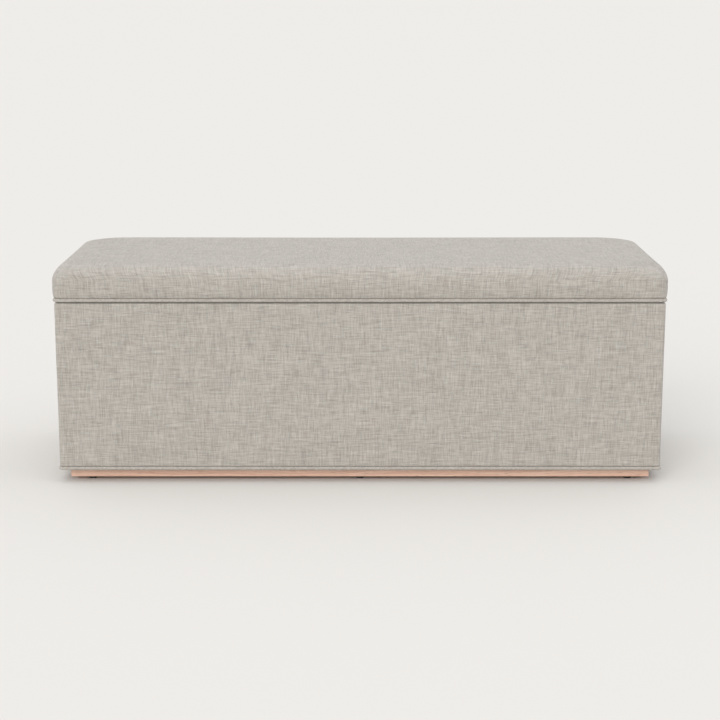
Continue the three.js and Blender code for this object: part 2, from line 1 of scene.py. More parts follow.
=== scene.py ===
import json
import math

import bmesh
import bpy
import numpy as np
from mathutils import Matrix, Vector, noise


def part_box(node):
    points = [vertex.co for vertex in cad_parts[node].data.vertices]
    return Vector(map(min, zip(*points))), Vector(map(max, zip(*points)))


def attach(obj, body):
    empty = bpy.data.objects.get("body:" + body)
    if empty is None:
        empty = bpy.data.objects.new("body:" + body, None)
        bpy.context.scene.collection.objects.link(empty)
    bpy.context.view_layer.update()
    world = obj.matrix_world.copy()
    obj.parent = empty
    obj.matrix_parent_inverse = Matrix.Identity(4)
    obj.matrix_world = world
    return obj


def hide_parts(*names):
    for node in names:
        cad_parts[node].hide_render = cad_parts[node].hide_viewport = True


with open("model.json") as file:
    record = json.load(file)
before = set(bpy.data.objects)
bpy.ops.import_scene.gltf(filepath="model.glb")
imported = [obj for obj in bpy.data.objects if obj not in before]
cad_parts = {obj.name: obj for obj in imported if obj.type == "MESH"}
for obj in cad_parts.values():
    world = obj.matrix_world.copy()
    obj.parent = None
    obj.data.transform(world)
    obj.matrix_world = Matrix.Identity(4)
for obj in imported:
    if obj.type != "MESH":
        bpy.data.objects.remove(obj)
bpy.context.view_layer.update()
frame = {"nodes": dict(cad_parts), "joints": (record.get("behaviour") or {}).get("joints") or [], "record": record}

# %% [markdown]
# # A long upholstered ottoman with storage
# The object is a plywood box with foam and linen over it, on a low oak plinth. A padded lid is
# hinged at the back, and two gas struts hold it open. The frame holds every board, hinge and strut
# at its real size. This script makes what the eye meets: the cloth, the piping, the wood, the metal,
# and the small things that repeat, such as screws, staples and stitches.
# Everything is in metres, Z is up, the long side runs along X, and the front faces -Y.

MM = 0.001
joints = {joint["name"]: joint for joint in frame["joints"]}

cover_low, cover_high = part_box("front_cover")
half_w, body_top, cover_bottom = cover_high.x, cover_high.z, cover_low.z
half_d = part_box("back_cover")[1].y
lid_cloth_low, lid_cloth_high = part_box("lid_lining")
board_low, board_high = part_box("lid_board")
gap_middle = (body_top + lid_cloth_low.z) / 2
seat_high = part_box("seat_cover")[1]
print("box", round(2 * half_w, 3), "x", round(2 * half_d, 3), "m, its top edge at", round(body_top, 4))

# %% [markdown]
# ## Working with node trees
# Materials, the sky and the Geometry Nodes all need sums, so a number in a tree is wrapped in a
# small class: adding or multiplying it adds the node that does so. One function feeds an input,
# whether it gets a plain value or another node's output.


# %% Numbers and vectors in a node tree
class Number:
    """A number in a node tree. Arithmetic on it adds Math nodes."""

    def __init__(self, tree, socket):
        self.tree = tree
        self.socket = socket

    def maths(self, operation, *others, clamp=False):
        node = self.tree.nodes.new("ShaderNodeMath")
        node.operation = operation
        node.use_clamp = clamp
        for socket, value in zip(node.inputs, (self, *others)):
            feed(socket, value)
        return Number(self.tree, node.outputs[0])

    def __add__(self, other):
        return self.maths("ADD", other)

    def __sub__(self, other):
        return self.maths("SUBTRACT", other)

    def __mul__(self, other):
        return self.maths("MULTIPLY", other)

    def clamped(self):
        """Held between 0 and 1."""
        return self.maths("ADD", 0.0, clamp=True)

    def from_one(self):
        return self * -1.0 + 1.0


def feed(socket, value):
    """Gives an input a plain value, or links it to another node's output."""
    if isinstance(value, Number):
        value = value.socket
    if isinstance(value, bpy.types.NodeSocket):
        socket.id_data.links.new(value, socket)
    else:
        socket.default_value = value


def combine(tree, *numbers):
    """A vector from three numbers."""
    node = tree.nodes.new("ShaderNodeCombineXYZ")
    for socket, value in zip(node.inputs, numbers):
        feed(socket, value)
    return node.outputs[0]


def mix_colours(tree, factor, first, second):
    node = tree.nodes.new("ShaderNodeMix")
    node.data_type = "RGBA"
    feed(node.inputs["Factor"], factor)
    feed(node.inputs[6], first)
    feed(node.inputs[7], second)
    return node.outputs[2]


# %% [markdown]
# ## Camera, floor and light
# A long lens from a few metres away keeps the two ends almost parallel, as a catalogue picture does.
# The camera looks down by twelve degrees, so the top of the seat shows as a narrow band.
# The light is a plain pale room, brighter overhead than at the walls, with one wide soft light from
# the front. The sky keeps the top a little brighter than the front. The front light is low enough
# to reach under the overhang and show the wooden plinth.

# %% Camera
CAMERA_BACK = 3.550  # in front of the box's front face
CAMERA_UP = 0.6312  # above the gap between box and lid
CAMERA_PITCH = math.radians(12)
LENS_MM, SENSOR_MM = 85, 36


def new_object(name, data):
    """An object with this data, placed in the scene."""
    obj = bpy.data.objects.new(name, data)
    bpy.context.scene.collection.objects.link(obj)
    return obj


camera_data = bpy.data.cameras.new("camera")
camera_data.lens = LENS_MM
camera_data.sensor_width = SENSOR_MM
camera_data.clip_end = 10000  # past the floor's far edge
camera = new_object("camera", camera_data)
camera.location = (0, -half_d - CAMERA_BACK, gap_middle + CAMERA_UP)
camera.rotation_euler = (math.pi / 2 - CAMERA_PITCH, 0, 0)
bpy.context.scene.camera = camera
print("camera at", [round(c, 3) for c in camera.location])

# %% Light and colour handling
LOW_SKY = (0.51, 0.50, 0.485, 1)
OVERHEAD = (1.26, 1.265, 1.285, 1)
SUN_HEIGHT = math.radians(28)  # above the floor
SUN_SIDE = math.radians(-18)  # to the left of the camera

bpy.context.scene.view_settings.view_transform = "Standard"

world = bpy.data.worlds.new("pale room")
bpy.context.scene.world = world
world.use_nodes = True
sky = world.node_tree
split = sky.nodes.new("ShaderNodeSeparateXYZ")
feed(split.inputs[0], sky.nodes.new("ShaderNodeTexCoord").outputs["Generated"])
feed(sky.nodes["Background"].inputs["Color"], mix_colours(sky, split.outputs["Z"], LOW_SKY, OVERHEAD))

sun_data = bpy.data.lights.new("front light", "SUN")
sun_data.energy = 1.45
sun_data.angle = math.radians(40)  # a wide, soft source
sun_data.color = (1.0, 0.985, 0.955)
sun = new_object("front light", sun_data)
sun.rotation_euler = (math.pi / 2 - SUN_HEIGHT, 0, SUN_SIDE)

# %% [markdown]
# ## Mesh helpers
# Most pieces here are skins: a run of rings, one above the other, with the same number of points
# in each. A ring is a rectangle with round corners. Each point of it is kept as a column: where it
# sits on the ring's inner rectangle and which way it faces. The same columns then fit a ring of any
# size and corner radius, so a cloth cover, a piping and a lid hem all come from one helper.
# Every skin carries a UV map in metres, called "weave", so that threads keep their real size.


# %% Making a mesh object
def mesh_object(name, points, faces, weave=None, material=None):
    """A mesh from points and faces; weave gives each face's corners in metres on the cloth."""
    mesh = bpy.data.meshes.new(name)
    mesh.from_pydata([tuple(p) for p in points], [], faces)
    if weave is not None:
        layer = mesh.uv_layers.new(name="weave")
        flat = np.array([corner for face in weave for corner in face], np.float32)
        layer.data.foreach_set("uv", flat.ravel())
    mesh.validate()
    mesh.polygons.foreach_set("use_smooth", np.ones(len(mesh.polygons), bool))
    if material is not None:
        mesh.materials.append(material)
    return new_object(name, mesh)


def bake_modifiers(obj):
    """Replaces an object's mesh with the result of its modifiers."""
    depsgraph = bpy.context.evaluated_depsgraph_get()
    made = bpy.data.meshes.new_from_object(obj.evaluated_get(depsgraph))
    obj.modifiers.clear()
    obj.data = made


def thicken(obj, thickness):
    """Gives a cloth skin its thickness, on the side away from its faces."""
    solidify = obj.modifiers.new("thickness", "SOLIDIFY")
    solidify.thickness = thickness
    solidify.offset = -1
    bake_modifiers(obj)


def subdivide(obj, levels=1):
    """Rounds a skin off with a subdivision surface."""
    smooth = obj.modifiers.new("smooth", "SUBSURF")
    smooth.levels = levels
    smooth.render_levels = levels
    smooth.boundary_smooth = "PRESERVE_CORNERS"
    bake_modifiers(obj)


def add_faces(obj, loops):
    """Closes a skin with a face on each loop of points."""
    work = bmesh.new()
    work.from_mesh(obj.data)
    work.verts.ensure_lookup_table()
    for loop in loops:
        work.faces.new([work.verts[i] for i in loop])
    bmesh.ops.recalc_face_normals(work, faces=work.faces)
    work.to_mesh(obj.data)
    work.free()


# %% Reading and moving points
def mesh_points(mesh):
    flat = np.empty(len(mesh.vertices) * 3, np.float32)
    mesh.vertices.foreach_get("co", flat)
    return flat.reshape(-1, 3).astype(float)


def set_points(mesh, points):
    mesh.vertices.foreach_set("co", np.asarray(points, np.float32).ravel())
    mesh.update()


def store_vectors(mesh, name, vectors):
    """Keeps one vector for each point under a name."""
    attribute = mesh.attributes.new(name, "FLOAT_VECTOR", "POINT")
    attribute.data.foreach_set("vector", np.array(vectors, np.float32).ravel())


def bumps(x, y, z):
    """Smooth noise, from about -1 to 1, the same on every run."""
    return noise.noise(Vector((x, y, z)))


def quarter_turn(radius, steps):
    """Points along a quarter circle, from step 0: how far it has gone sideways and how far up."""
    angles = [k / steps * math.pi / 2 for k in range(steps + 1)]
    return [(radius * (1 - math.cos(angle)), radius * math.sin(angle)) for angle in angles]


# %% Grids, rings and skins
def grid_lines(half, edge, edge_steps, spacing):
    """Grid lines from -half to half: fine ones within edge of each end, then even ones."""
    fine = [edge * k / edge_steps for k in range(edge_steps)]
    inner = half - edge
    middle = np.linspace(-inner, inner, max(2, round(2 * inner / spacing)) + 1)
    return [-half + f for f in fine] + list(middle) + [half - f for f in reversed(fine)]


def grid_faces(us, vs, faces_down=False):
    """The faces of a flat grid, and where their corners lie on the cloth."""
    faces, weave = [], []
    for j in range(len(vs) - 1):
        for i in range(len(us) - 1):
            quad = [(i, j), (i + 1, j), (i + 1, j + 1), (i, j + 1)]
            if faces_down:
                quad.reverse()
            faces.append([b * len(us) + a for a, b in quad])
            weave.append([(us[a], vs[b]) for a, b in quad])
    return faces, weave


def straight_marks(half, spacing, fine):
    """Places along a straight stretch as shares from -1 to 1, with extra distances from its middle's ends."""
    steps = max(2, round(2 * half / spacing))
    marks = set(np.round(np.linspace(-half, half, steps + 1), 6))
    for distance in fine:
        marks |= {round(half - distance, 6), round(distance - half, 6)}
    return [mark / half for mark in sorted(marks)]


def ring_columns(core_x, core_y, radius, spacing, corner_steps, fine_x=(), fine_y=()):
    """Columns round a ring, anticlockwise from the start of its right side, and the length round it.
    A column is (fx, fy, nx, ny, along): its share of the core rectangle, its facing, its distance."""
    marks_x = straight_marks(core_x, spacing, fine_x)
    marks_y = straight_marks(core_y, spacing, fine_y)
    sides = [
        (marks_y, lambda m: (1, m), (1, 0), core_y),
        (marks_x, lambda m: (-m, 1), (0, 1), core_x),
        (marks_y, lambda m: (-1, -m), (-1, 0), core_y),
        (marks_x, lambda m: (m, -1), (0, -1), core_x),
    ]
    columns, along = [], 0.0
    corner_step = radius * math.pi / 2 / corner_steps
    for quarter, (marks, point, facing, length) in enumerate(sides):
        for before, mark in zip([marks[0], *marks], marks):
            along += (mark - before) * length
            columns.append((*point(mark), *facing, along))
        for step in range(1, corner_steps):
            angle = (quarter + step / corner_steps) * math.pi / 2
            along += corner_step
            columns.append((*point(marks[-1]), math.cos(angle), math.sin(angle), along))
        along += corner_step
    return columns, along


def skin(name, columns, rows, half_x, half_y, material, closed=None, looped=False, bias=0.0):
    """Skins columns and rows. A row is (inset, height, corner radius, distance up the cloth).
    closed is the whole length round, where the columns meet again. looped joins the last row to
    the first. bias turns the weave on the cloth, in radians."""
    points, faces, weave = [], [], []
    for inset, height, radius, _ in rows:
        for fx, fy, nx, ny, _ in columns:
            x = fx * (half_x - inset - radius) + nx * radius
            y = fy * (half_y - inset - radius) + ny * radius
            points.append((x, y, height))
    count = len(columns)
    alongs = [column[4] for column in columns] + ([closed] if closed else [])
    ups = [row[3] for row in rows]
    if looped:
        ups.append(2 * ups[-1] - ups[-2])
    c, s = math.cos(bias), math.sin(bias)
    for row in range(len(ups) - 1):
        low, high = row * count, ((row + 1) % len(rows)) * count
        for i in range(len(alongs) - 1):
            j = (i + 1) % count
            faces.append((low + i, low + j, high + j, high + i))
            corners = [(alongs[i], ups[row]), (alongs[i + 1], ups[row]),
                       (alongs[i + 1], ups[row + 1]), (alongs[i], ups[row + 1])]
            weave.append([(c * a - s * b, s * a + c * b) for a, b in corners])
    return mesh_object(name, points, faces, weave, material)


# %% [markdown]
# ## Shader groups
# Three effects are used by several materials, so each is a node group with its own sockets.
# "cloth" gives the threads of a plain weave: thin streaks across each other, as uneven linen yarn
# makes them, and a fine checker of overs and unders for the relief. The same checker is also
# painted into the colour: painted light on the raised crossings and painted shade in the pits.
# "timber" gives long grain with pores. "handling" gives the small scratches and dull patches that
# metal and plastic pick up.


# %% Helpers for the groups
def new_group(name, place, settings, outputs):
    """A shader node group. Returns it with the three numbers of its place, its settings and its end."""
    group = bpy.data.node_groups.new(name, "ShaderNodeTree")
    group.interface.new_socket(place, in_out="INPUT", socket_type="NodeSocketVector")
    for label, value in settings.items():
        socket = group.interface.new_socket(label, in_out="INPUT", socket_type="NodeSocketFloat")
        socket.default_value = value
    for label in outputs:
        group.interface.new_socket(label, in_out="OUTPUT", socket_type="NodeSocketFloat")
    given = group.nodes.new("NodeGroupInput")
    split = group.nodes.new("ShaderNodeSeparateXYZ")
    feed(split.inputs[0], given.outputs[place])
    numbers = [Number(group, socket) for socket in split.outputs]
    chosen = [Number(group, given.outputs[label]) for label in settings]
    return group, numbers, chosen, group.nodes.new("NodeGroupOutput").inputs


def streaks(u, v, across, along, w, detail=2.0, roughness=0.5):
    """Noise on (u * across, v * along): streaks that run along v. w picks one pattern of many."""
    texture = u.tree.nodes.new("ShaderNodeTexNoise")
    texture.noise_dimensions = "3D"
    texture.inputs["Scale"].default_value = 1.0
    texture.inputs["Detail"].default_value = detail
    texture.inputs["Roughness"].default_value = roughness
    feed(texture.inputs["Vector"], combine(u.tree, u * across, v * along, w))
    return Number(u.tree, texture.outputs["Fac"])


# %% The cloth group
def make_cloth_group():
    settings = {"Threads per metre": 900.0, "Slub": 1.0, "Fleck": 1.0}
    group, (u, v, _), (thread_count, slub, fleck), result = new_group(
        "cloth", "Weave", settings, ["Tone", "Warmth", "Height"])

    # Uneven yarn: fine streaks for single threads, broad ones for runs of thick yarn.
    fine_warp = streaks(u, v, 560, 36, w=1.7, detail=3.0, roughness=0.65)
    fine_weft = streaks(v, u, 560, 32, w=7.3, detail=3.0, roughness=0.65)
    broad_warp = streaks(u, v, 190, 13, w=3.1, detail=1.5)
    broad_weft = streaks(v, u, 190, 12, w=9.9, detail=1.5)
    slubs = (fine_warp + fine_weft - 1.0) * 1.75 + (broad_warp + broad_weft - 1.0) * 0.3

    # Flecks: short thick places in a yarn that catch the light.
    fleck_warp = (streaks(u, v, 420, 75, w=13.0, detail=1.0) - 0.66).clamped()
    fleck_weft = (streaks(v, u, 420, 75, w=17.0, detail=1.0) - 0.66).clamped()
    tone = slubs * slub + 0.5 + (fleck_warp + fleck_weft) * 2.6 * fleck

    warm_warp = streaks(u, v, 110, 24, w=21.0, detail=2.5)
    warm_weft = streaks(v, u, 110, 24, w=23.0, detail=2.5)
    feed(result["Warmth"], ((warm_warp + warm_weft) * 1.6 - 1.1).clamped())

    # Plain weave: overs and unders change places from thread to thread, with a small pit wherever
    # four threads meet. The pits get painted shade and the raised crossings get painted light in the
    # tone, and the same pattern gives the relief.
    across = (u * thread_count * math.pi).maths("SINE")
    up = (v * thread_count * math.pi).maths("SINE")
    checker = across * up
    pit_depth_and_shade = across.maths("ABSOLUTE").from_one() * up.maths("ABSOLUTE").from_one()
    # The tone is the yarn's own streaks, plus painted shade in the pits and painted light on the crossings.
    feed(result["Tone"], tone + 0.066 + pit_depth_and_shade * -0.5 + checker * 0.12)
    feed(result["Height"], checker * 0.5 + slubs * 1.2 - pit_depth_and_shade)
    return group


cloth_group = make_cloth_group()


# %% The timber group
def make_timber_group():
    group, (x, y, z), (figure, pores), result = new_group(
        "timber", "Grain", {"Figure": 1.0, "Pores": 1.0}, ["Tone", "Pore", "Height"])
    drift = streaks(y, x, 9, 2.2, w=2.0)
    across = drift * 0.035 + y + z * 0.8
    rings = streaks(across, x, 210, 1.6, w=5.0, detail=4.0, roughness=0.62)
    fibre = streaks(across, x, 900, 12, w=8.0)
    pore = (streaks(across, x, 1500, 45, w=11.0, detail=1.0) - 0.62).clamped()
    pore = (pore * (pores * 7.0)).clamped()
    tone = (rings - 0.5) * 2.0 + (fibre - 0.5) * 0.6
    feed(result["Tone"], (tone * figure + 0.5).clamped())
    feed(result["Pore"], pore)
    feed(result["Height"], fibre * 0.4 - pore)
    return group


timber_group = make_timber_group()


# %% The handling group
def make_handling_group():
    group, (x, y, z), (brushing, scratches), result = new_group(
        "handling", "Place", {"Brushing": 1.0, "Scratches": 1.0}, ["Patches", "Lines"])
    yz = y + z * 0.7
    lines = streaks(yz, x, 3000, 60, w=6.0, detail=1.0)
    scratch = (streaks(x, yz, 900, 30, w=15.0, detail=1.0) - 0.68).clamped()
    feed(result["Patches"], streaks(x, yz, 60, 60, w=4.0, detail=3.0))
    feed(result["Lines"], lines * brushing + scratch * 4.0 * scratches)
    return group


handling_group = make_handling_group()

# %% [markdown]
# ## Materials
# The linen is a warm stone grey. Its threads differ a little in lightness and in warmth, and each
# thread is round, so the cloth has a soft sheen and a fine relief. The same group at other thread
# counts makes the plain cotton lining and the sewing thread. The black sheet under the box is not
# woven: its fibres are pressed together in small dots. Oak and plywood share the timber group.


# %% Material helpers
def rgb(red, green, blue):
    """An sRGB colour, 0 to 255, as the linear values that a shader takes."""
    shares = [c / 255 for c in (red, green, blue)]
    return (*(c / 12.92 if c <= 0.04045 else ((c + 0.055) / 1.055) ** 2.4 for c in shares), 1)


def new_material(name, roughness, metallic=0.0):
    material = bpy.data.materials.new(name)
    material.use_nodes = True
    tree = material.node_tree
    surface = tree.nodes["Principled BSDF"].inputs
    surface["Roughness"].default_value = roughness
    surface["Metallic"].default_value = metallic
    return material, tree, surface


def place_group(tree, group, place, settings):
    """Puts a shader group in a material and returns its outputs by name."""
    node = tree.nodes.new("ShaderNodeGroup")
    node.node_tree = group
    feed(node.inputs[0], place)
    for label, value in settings.items():
        feed(node.inputs[label], value)
    return {output.name: Number(tree, output) for output in node.outputs}


def relief(tree, surface, height, depth, strength=1.0):
    bump = tree.nodes.new("ShaderNodeBump")
    feed(bump.inputs["Distance"], depth)
    feed(bump.inputs["Strength"], strength)
    feed(bump.inputs["Height"], height)
    feed(surface["Normal"], bump.outputs["Normal"])


def on_the_weave(tree):
    node = tree.nodes.new("ShaderNodeUVMap")
    node.uv_map = "weave"
    return node.outputs["UV"]


def on_the_object(tree):
    return tree.nodes.new("ShaderNodeTexCoord").outputs["Object"]


def along_the_grain(tree):
    node = tree.nodes.new("ShaderNodeAttribute")
    node.attribute_name = "grain"
    return node.outputs["Vector"]


# %% Woven cloths
def woven_material(name, dark, light, warm, warm_share, thread_count, slub, fleck, relief_depth, sheen,
                   place=on_the_weave):
    material, tree, surface = new_material(name, 0.92)
    cloth = place_group(tree, cloth_group, place(tree),
                        {"Threads per metre": thread_count, "Slub": slub, "Fleck": fleck})
    plain = mix_colours(tree, cloth["Tone"], dark, light)
    feed(surface["Base Color"], mix_colours(tree, cloth["Warmth"] * warm_share, plain, warm))
    feed(surface["Sheen Weight"], sheen)
    feed(surface["Sheen Roughness"], 0.6)
    feed(surface["Specular IOR Level"], 0.25)
    relief(tree, surface, cloth["Height"], relief_depth, 0.8)
    return material


linen = woven_material(
    "linen", dark=rgb(138, 134, 127), light=rgb(196, 192, 185), warm=rgb(176, 165, 157), warm_share=0.36,
    thread_count=900, slub=0.95, fleck=1.3, relief_depth=0.35 * MM, sheen=0.2)
lining_cotton = woven_material(
    "lining cotton", dark=rgb(140, 136, 129), light=rgb(176, 172, 164), warm=rgb(160, 152, 142),
    warm_share=0.15, thread_count=1400, slub=0.45, fleck=0.2, relief_depth=0.15 * MM, sheen=0.08)
thread = woven_material(
    "sewing thread", dark=rgb(176, 169, 156), light=rgb(206, 200, 188), warm=rgb(190, 180, 168),
    warm_share=0.2, thread_count=2500, slub=0.3, fleck=0.0, relief_depth=0.05 * MM, sheen=0.2,
    place=on_the_object)


# %% Pressed cloth and foam
def spotted_material(name, roughness, dark, light, spots_per_metre, order, contrast, relief_depth):
    """Small round cells: the dots of a pressed cloth, or the bubbles of foam. order is 0 to 1."""
    material, tree, surface = new_material(name, roughness)
    cells = tree.nodes.new("ShaderNodeTexVoronoi")
    feed(cells.inputs["Scale"], spots_per_metre)
    feed(cells.inputs["Randomness"], 1 - order)
    feed(cells.inputs["Vector"], on_the_object(tree))
    distance = Number(tree, cells.outputs["Distance"])
    # Each cell is painted darker towards its middle, where its relief is lowest: painted shade in the sunk dots of
    # the pressed cloth and in the hollows of the foam's bubbles.
    feed(surface["Base Color"], mix_colours(tree, (distance * contrast).clamped(), dark, light))
    relief(tree, surface, distance, relief_depth)
    return material


pressed_cloth = spotted_material(
    "pressed black cloth", 0.9, rgb(22, 22, 23), rgb(58, 57, 56), spots_per_metre=420, order=0.85,
    contrast=1.4, relief_depth=0.2 * MM)
foam = spotted_material(
    "foam", 0.95, rgb(196, 186, 150), rgb(236, 230, 205), spots_per_metre=900, order=0.0,
    contrast=1.0, relief_depth=0.3 * MM)


# %% Woods
def timber_material(name, dark, light, pore_colour, place, figure, pores, roughness):
    material, tree, surface = new_material(name, roughness)
    timber = place_group(tree, timber_group, place(tree), {"Figure": figure, "Pores": pores})
    body = mix_colours(tree, timber["Tone"], dark, light)
    feed(surface["Base Color"], mix_colours(tree, timber["Pore"], body, pore_colour))
    feed(surface["Roughness"], timber["Tone"] * -0.15 + (roughness + 0.08))
    relief(tree, surface, timber["Height"], 0.15 * MM)
    return material, surface


oak, oak_surface = timber_material(
    "oak", rgb(206, 160, 138), rgb(250, 216, 194), rgb(170, 126, 104), along_the_grain,
    figure=1.0, pores=1.0, roughness=0.5)
oak_surface["Coat Weight"].default_value = 0.4  # a satin varnish
oak_surface["Coat Roughness"].default_value = 0.25
plywood, _ = timber_material(
    "plywood", rgb(190, 160, 118), rgb(222, 197, 158), rgb(170, 138, 98), on_the_object,
    figure=0.7, pores=0.35, roughness=0.65)


# %% Metals and plastic
def hard_material(name, colour, dull, roughness, brushing, scratches, metallic, relief_depth=0.02 * MM):
    material, tree, surface = new_material(name, roughness, metallic)
    handling = place_group(tree, handling_group, on_the_object(tree),
                           {"Brushing": brushing, "Scratches": scratches})
    feed(surface["Base Color"], mix_colours(tree, handling["Patches"], dull, colour))
    patchy = handling["Patches"] * 0.25 + (roughness - 0.12)
    feed(surface["Roughness"], (handling["Lines"] * 0.12 + patchy).clamped())
    relief(tree, surface, handling["Lines"], relief_depth)
    return material


steel = hard_material("zinc plated steel", rgb(205, 206, 208), rgb(164, 166, 170),
                      roughness=0.34, brushing=1.0, scratches=0.6, metallic=1.0)
rod_chrome = hard_material("hard chrome", rgb(226, 227, 229), rgb(205, 207, 210),
                           roughness=0.14, brushing=0.3, scratches=0.2, metallic=1.0)
tube_paint = hard_material("black enamel", rgb(34, 34, 36), rgb(24, 24, 26),
                           roughness=0.36, brushing=0.15, scratches=0.5, metallic=0.0)
black_plastic = hard_material("black plastic", rgb(46, 45, 44), rgb(36, 35, 34),
                              roughness=0.5, brushing=0.5, scratches=0.3, metallic=0.0,
                              relief_depth=0.05 * MM)

# %% Finishes for the frame's own pieces
# The frame's oak rails get plywood here, because the bevelled rails further on stand in for them.
slot_materials = {
    "linen": linen, "lining_cloth": lining_cotton, "dust_cloth": pressed_cloth, "foam": foam,
    "plywood": plywood, "oak": plywood, "black_plastic": black_plastic, "steel": steel,
    "black_paint": tube_paint,
}
node_slots = {part["node"]: part["material_slot"] for part in frame["record"]["subparts"]}
for node_name, node in frame["nodes"].items():
    node.data.materials.clear()
    node.data.materials.append(slot_materials[node_slots[node_name]])
print(len(frame["nodes"]), "frame pieces have a finish")

# %% [markdown]
# ## Floor
# A plain pale floor, so wide that it fills the view up to the horizon. Its middle is a small square,
# and the outer squares grow tenfold, because one vast face would be imprecise under the feet.

# %% Floor
FLOOR_EDGES = [-4000, -400, -40, -4, 4, 40, 400, 4000]

floor_material, _, floor_surface = new_material("pale floor", 0.9)
floor_surface["Base Color"].default_value = (0.705, 0.692, 0.666, 1)
floor_surface["Specular IOR Level"].default_value = 0.1
floor_points = [(x, y, 0) for y in FLOOR_EDGES for x in FLOOR_EDGES]
floor = mesh_object("floor", floor_points, grid_faces(FLOOR_EDGES, FLOOR_EDGES)[0], material=floor_material)

# %% [markdown]
# ## Seat cover
# The seat is a foam slab under one piece of cloth. The cloth lies flat on top, turns over a round
# edge, swells out a little at the sides and pulls in where it is sewn to the piping.
# It could be a remeshed block, but a grid laid out like the cloth itself is better here: its lines
# run with the threads, so the weave follows the cloth round the edge, and its corners stay neat.
# The grid is then blown up a little with the cloth solver while its lower edge is held, which gives
# the slight swelling and the faint puckers along the seam. The movement is limited to under two
# millimetres, because firm foam holds the cloth in shape.

# %% The seat's side, as a run of rings
EDGE_RADIUS = 26 * MM  # where the top turns over into the side
STRAIGHT_TOP = 51 * MM  # above the gap, where the top edge starts to round
WIDEST = 38 * MM  # above the gap
LOWER_HEIGHT = 30 * MM  # the side curves in over this height, below its widest
SEAM = 9.3 * MM  # above the gap
SEAM_CORNER, WIDEST_CORNER, TOP_CORNER = 14 * MM, 26 * MM, 72 * MM  # radii, seen from above
edge_arc = EDGE_RADIUS * math.pi / 2
bulge = seat_high.x - half_w


def edge_ring(distance):
    """The ring at a distance up the cloth from the start of the round edge: inset, height, corner radius."""
    if distance <= edge_arc:
        angle = distance / EDGE_RADIUS
        rise = math.sin(angle)
        return (EDGE_RADIUS * (1 - math.cos(angle)), gap_middle + STRAIGHT_TOP + EDGE_RADIUS * rise,
                WIDEST_CORNER + (TOP_CORNER - WIDEST_CORNER) * rise)
    past = distance - edge_arc
    return EDGE_RADIUS + past, gap_middle + STRAIGHT_TOP + EDGE_RADIUS, max(TOP_CORNER - past, 0.0)


def side_ring(height):
    """The ring at a height above the gap, from the seam up to the round edge."""
    if height >= WIDEST:
        return 0.0, gap_middle + height, WIDEST_CORNER
    below = (WIDEST - height) / LOWER_HEIGHT
    inset = bulge * (1 - math.sqrt(max(0.0, 1 - below * below)))
    share = (height - SEAM) / (WIDEST - SEAM)
    return inset, gap_middle + height, SEAM_CORNER + (WIDEST_CORNER - SEAM_CORNER) * share


# %% A grid folded down over a box
OUTWARDS = ((0, -1), (1, 0), (0, 1), (-1, 0))  # on the cloth, from the front, right, back and left edges
NOTHING = 1e-9  # shorter than this is zero


def on_ring(u, v, line_u, line_v, ring, reach_x, reach_y):
    """Moves a point of the square grid line through (line_u, line_v) to its place on a ring."""
    inset, height, radius = ring
    a, b = reach_x - inset, reach_y - inset
    x = u * a / line_u if line_u > NOTHING else 0.0
    y = v * b / line_v if line_v > NOTHING else 0.0
    core_x = min(max(x, radius - a), a - radius)
    core_y = min(max(y, radius - b), b - radius)
    dx, dy = x - core_x, y - core_y
    squeeze = 1.0
    if min(abs(dx), abs(dy)) > NOTHING:
        squeeze = max(abs(dx), abs(dy)) / math.hypot(dx, dy)
    return core_x + dx * squeeze, core_y + dy * squeeze, height


def folded_grid(name, us, vs, wall_rows, ring_of, reach_x, reach_y, material):
    """A flat grid with walls. us and vs are lines on the cloth, and the walls start at their ends.
    ring_of gives the ring at a distance in from the ends. A wall row is (ring, distance down)."""
    end_u, end_v = us[-1], vs[-1]
    nu, nv = len(us), len(vs)
    points = []
    for v in vs:
        for u in us:
            distance = min(end_u - abs(u), end_v - abs(v))
            points.append(on_ring(u, v, end_u - distance, end_v - distance, ring_of(distance),
                                  reach_x, reach_y))
    faces, weave = grid_faces(us, vs)
    loop = [(i, 0, 0) for i in range(nu - 1)] + [(nu - 1, j, 1) for j in range(nv - 1)]
    loop += [(nu - 1 - i, nv - 1, 2) for i in range(nu - 1)] + [(0, nv - 1 - j, 3) for j in range(nv - 1)]
    above, above_drop = [j * nu + i for i, j, _ in loop], 0.0
    for ring, drop in wall_rows:
        below = list(range(len(points), len(points) + len(loop)))
        points += [on_ring(us[i], vs[j], end_u, end_v, ring, reach_x, reach_y) for i, j, _ in loop]
        for k, (i, j, side) in enumerate(loop):
            n = (k + 1) % len(loop)
            there = loop[n][:2]
            out_u, out_v = OUTWARDS[side]
            faces.append((above[k], below[k], below[n], above[n]))
            corners = [((i, j), above_drop), ((i, j), drop), (there, drop), (there, above_drop)]
            weave.append([(us[a] + out_u * d, vs[b] + out_v * d) for (a, b), d in corners])
        above, above_drop = below, drop
    return mesh_object(name, points, faces, weave, material), len(loop)


# %% Laying out the seat cover
SWELL = 0.9 * MM  # the grid starts this much inside the finished shape
SIDE_HEIGHTS = [46, 42, 38, 33.5, 29, 24.5, 20, 16, 12.5, 9.3]  # of the side's rows above the gap, in mm
TUCK = [(2.6 * MM, 0.0), (5.0 * MM, 0.2 * MM)]  # past the seam the cloth turns in, over the piping

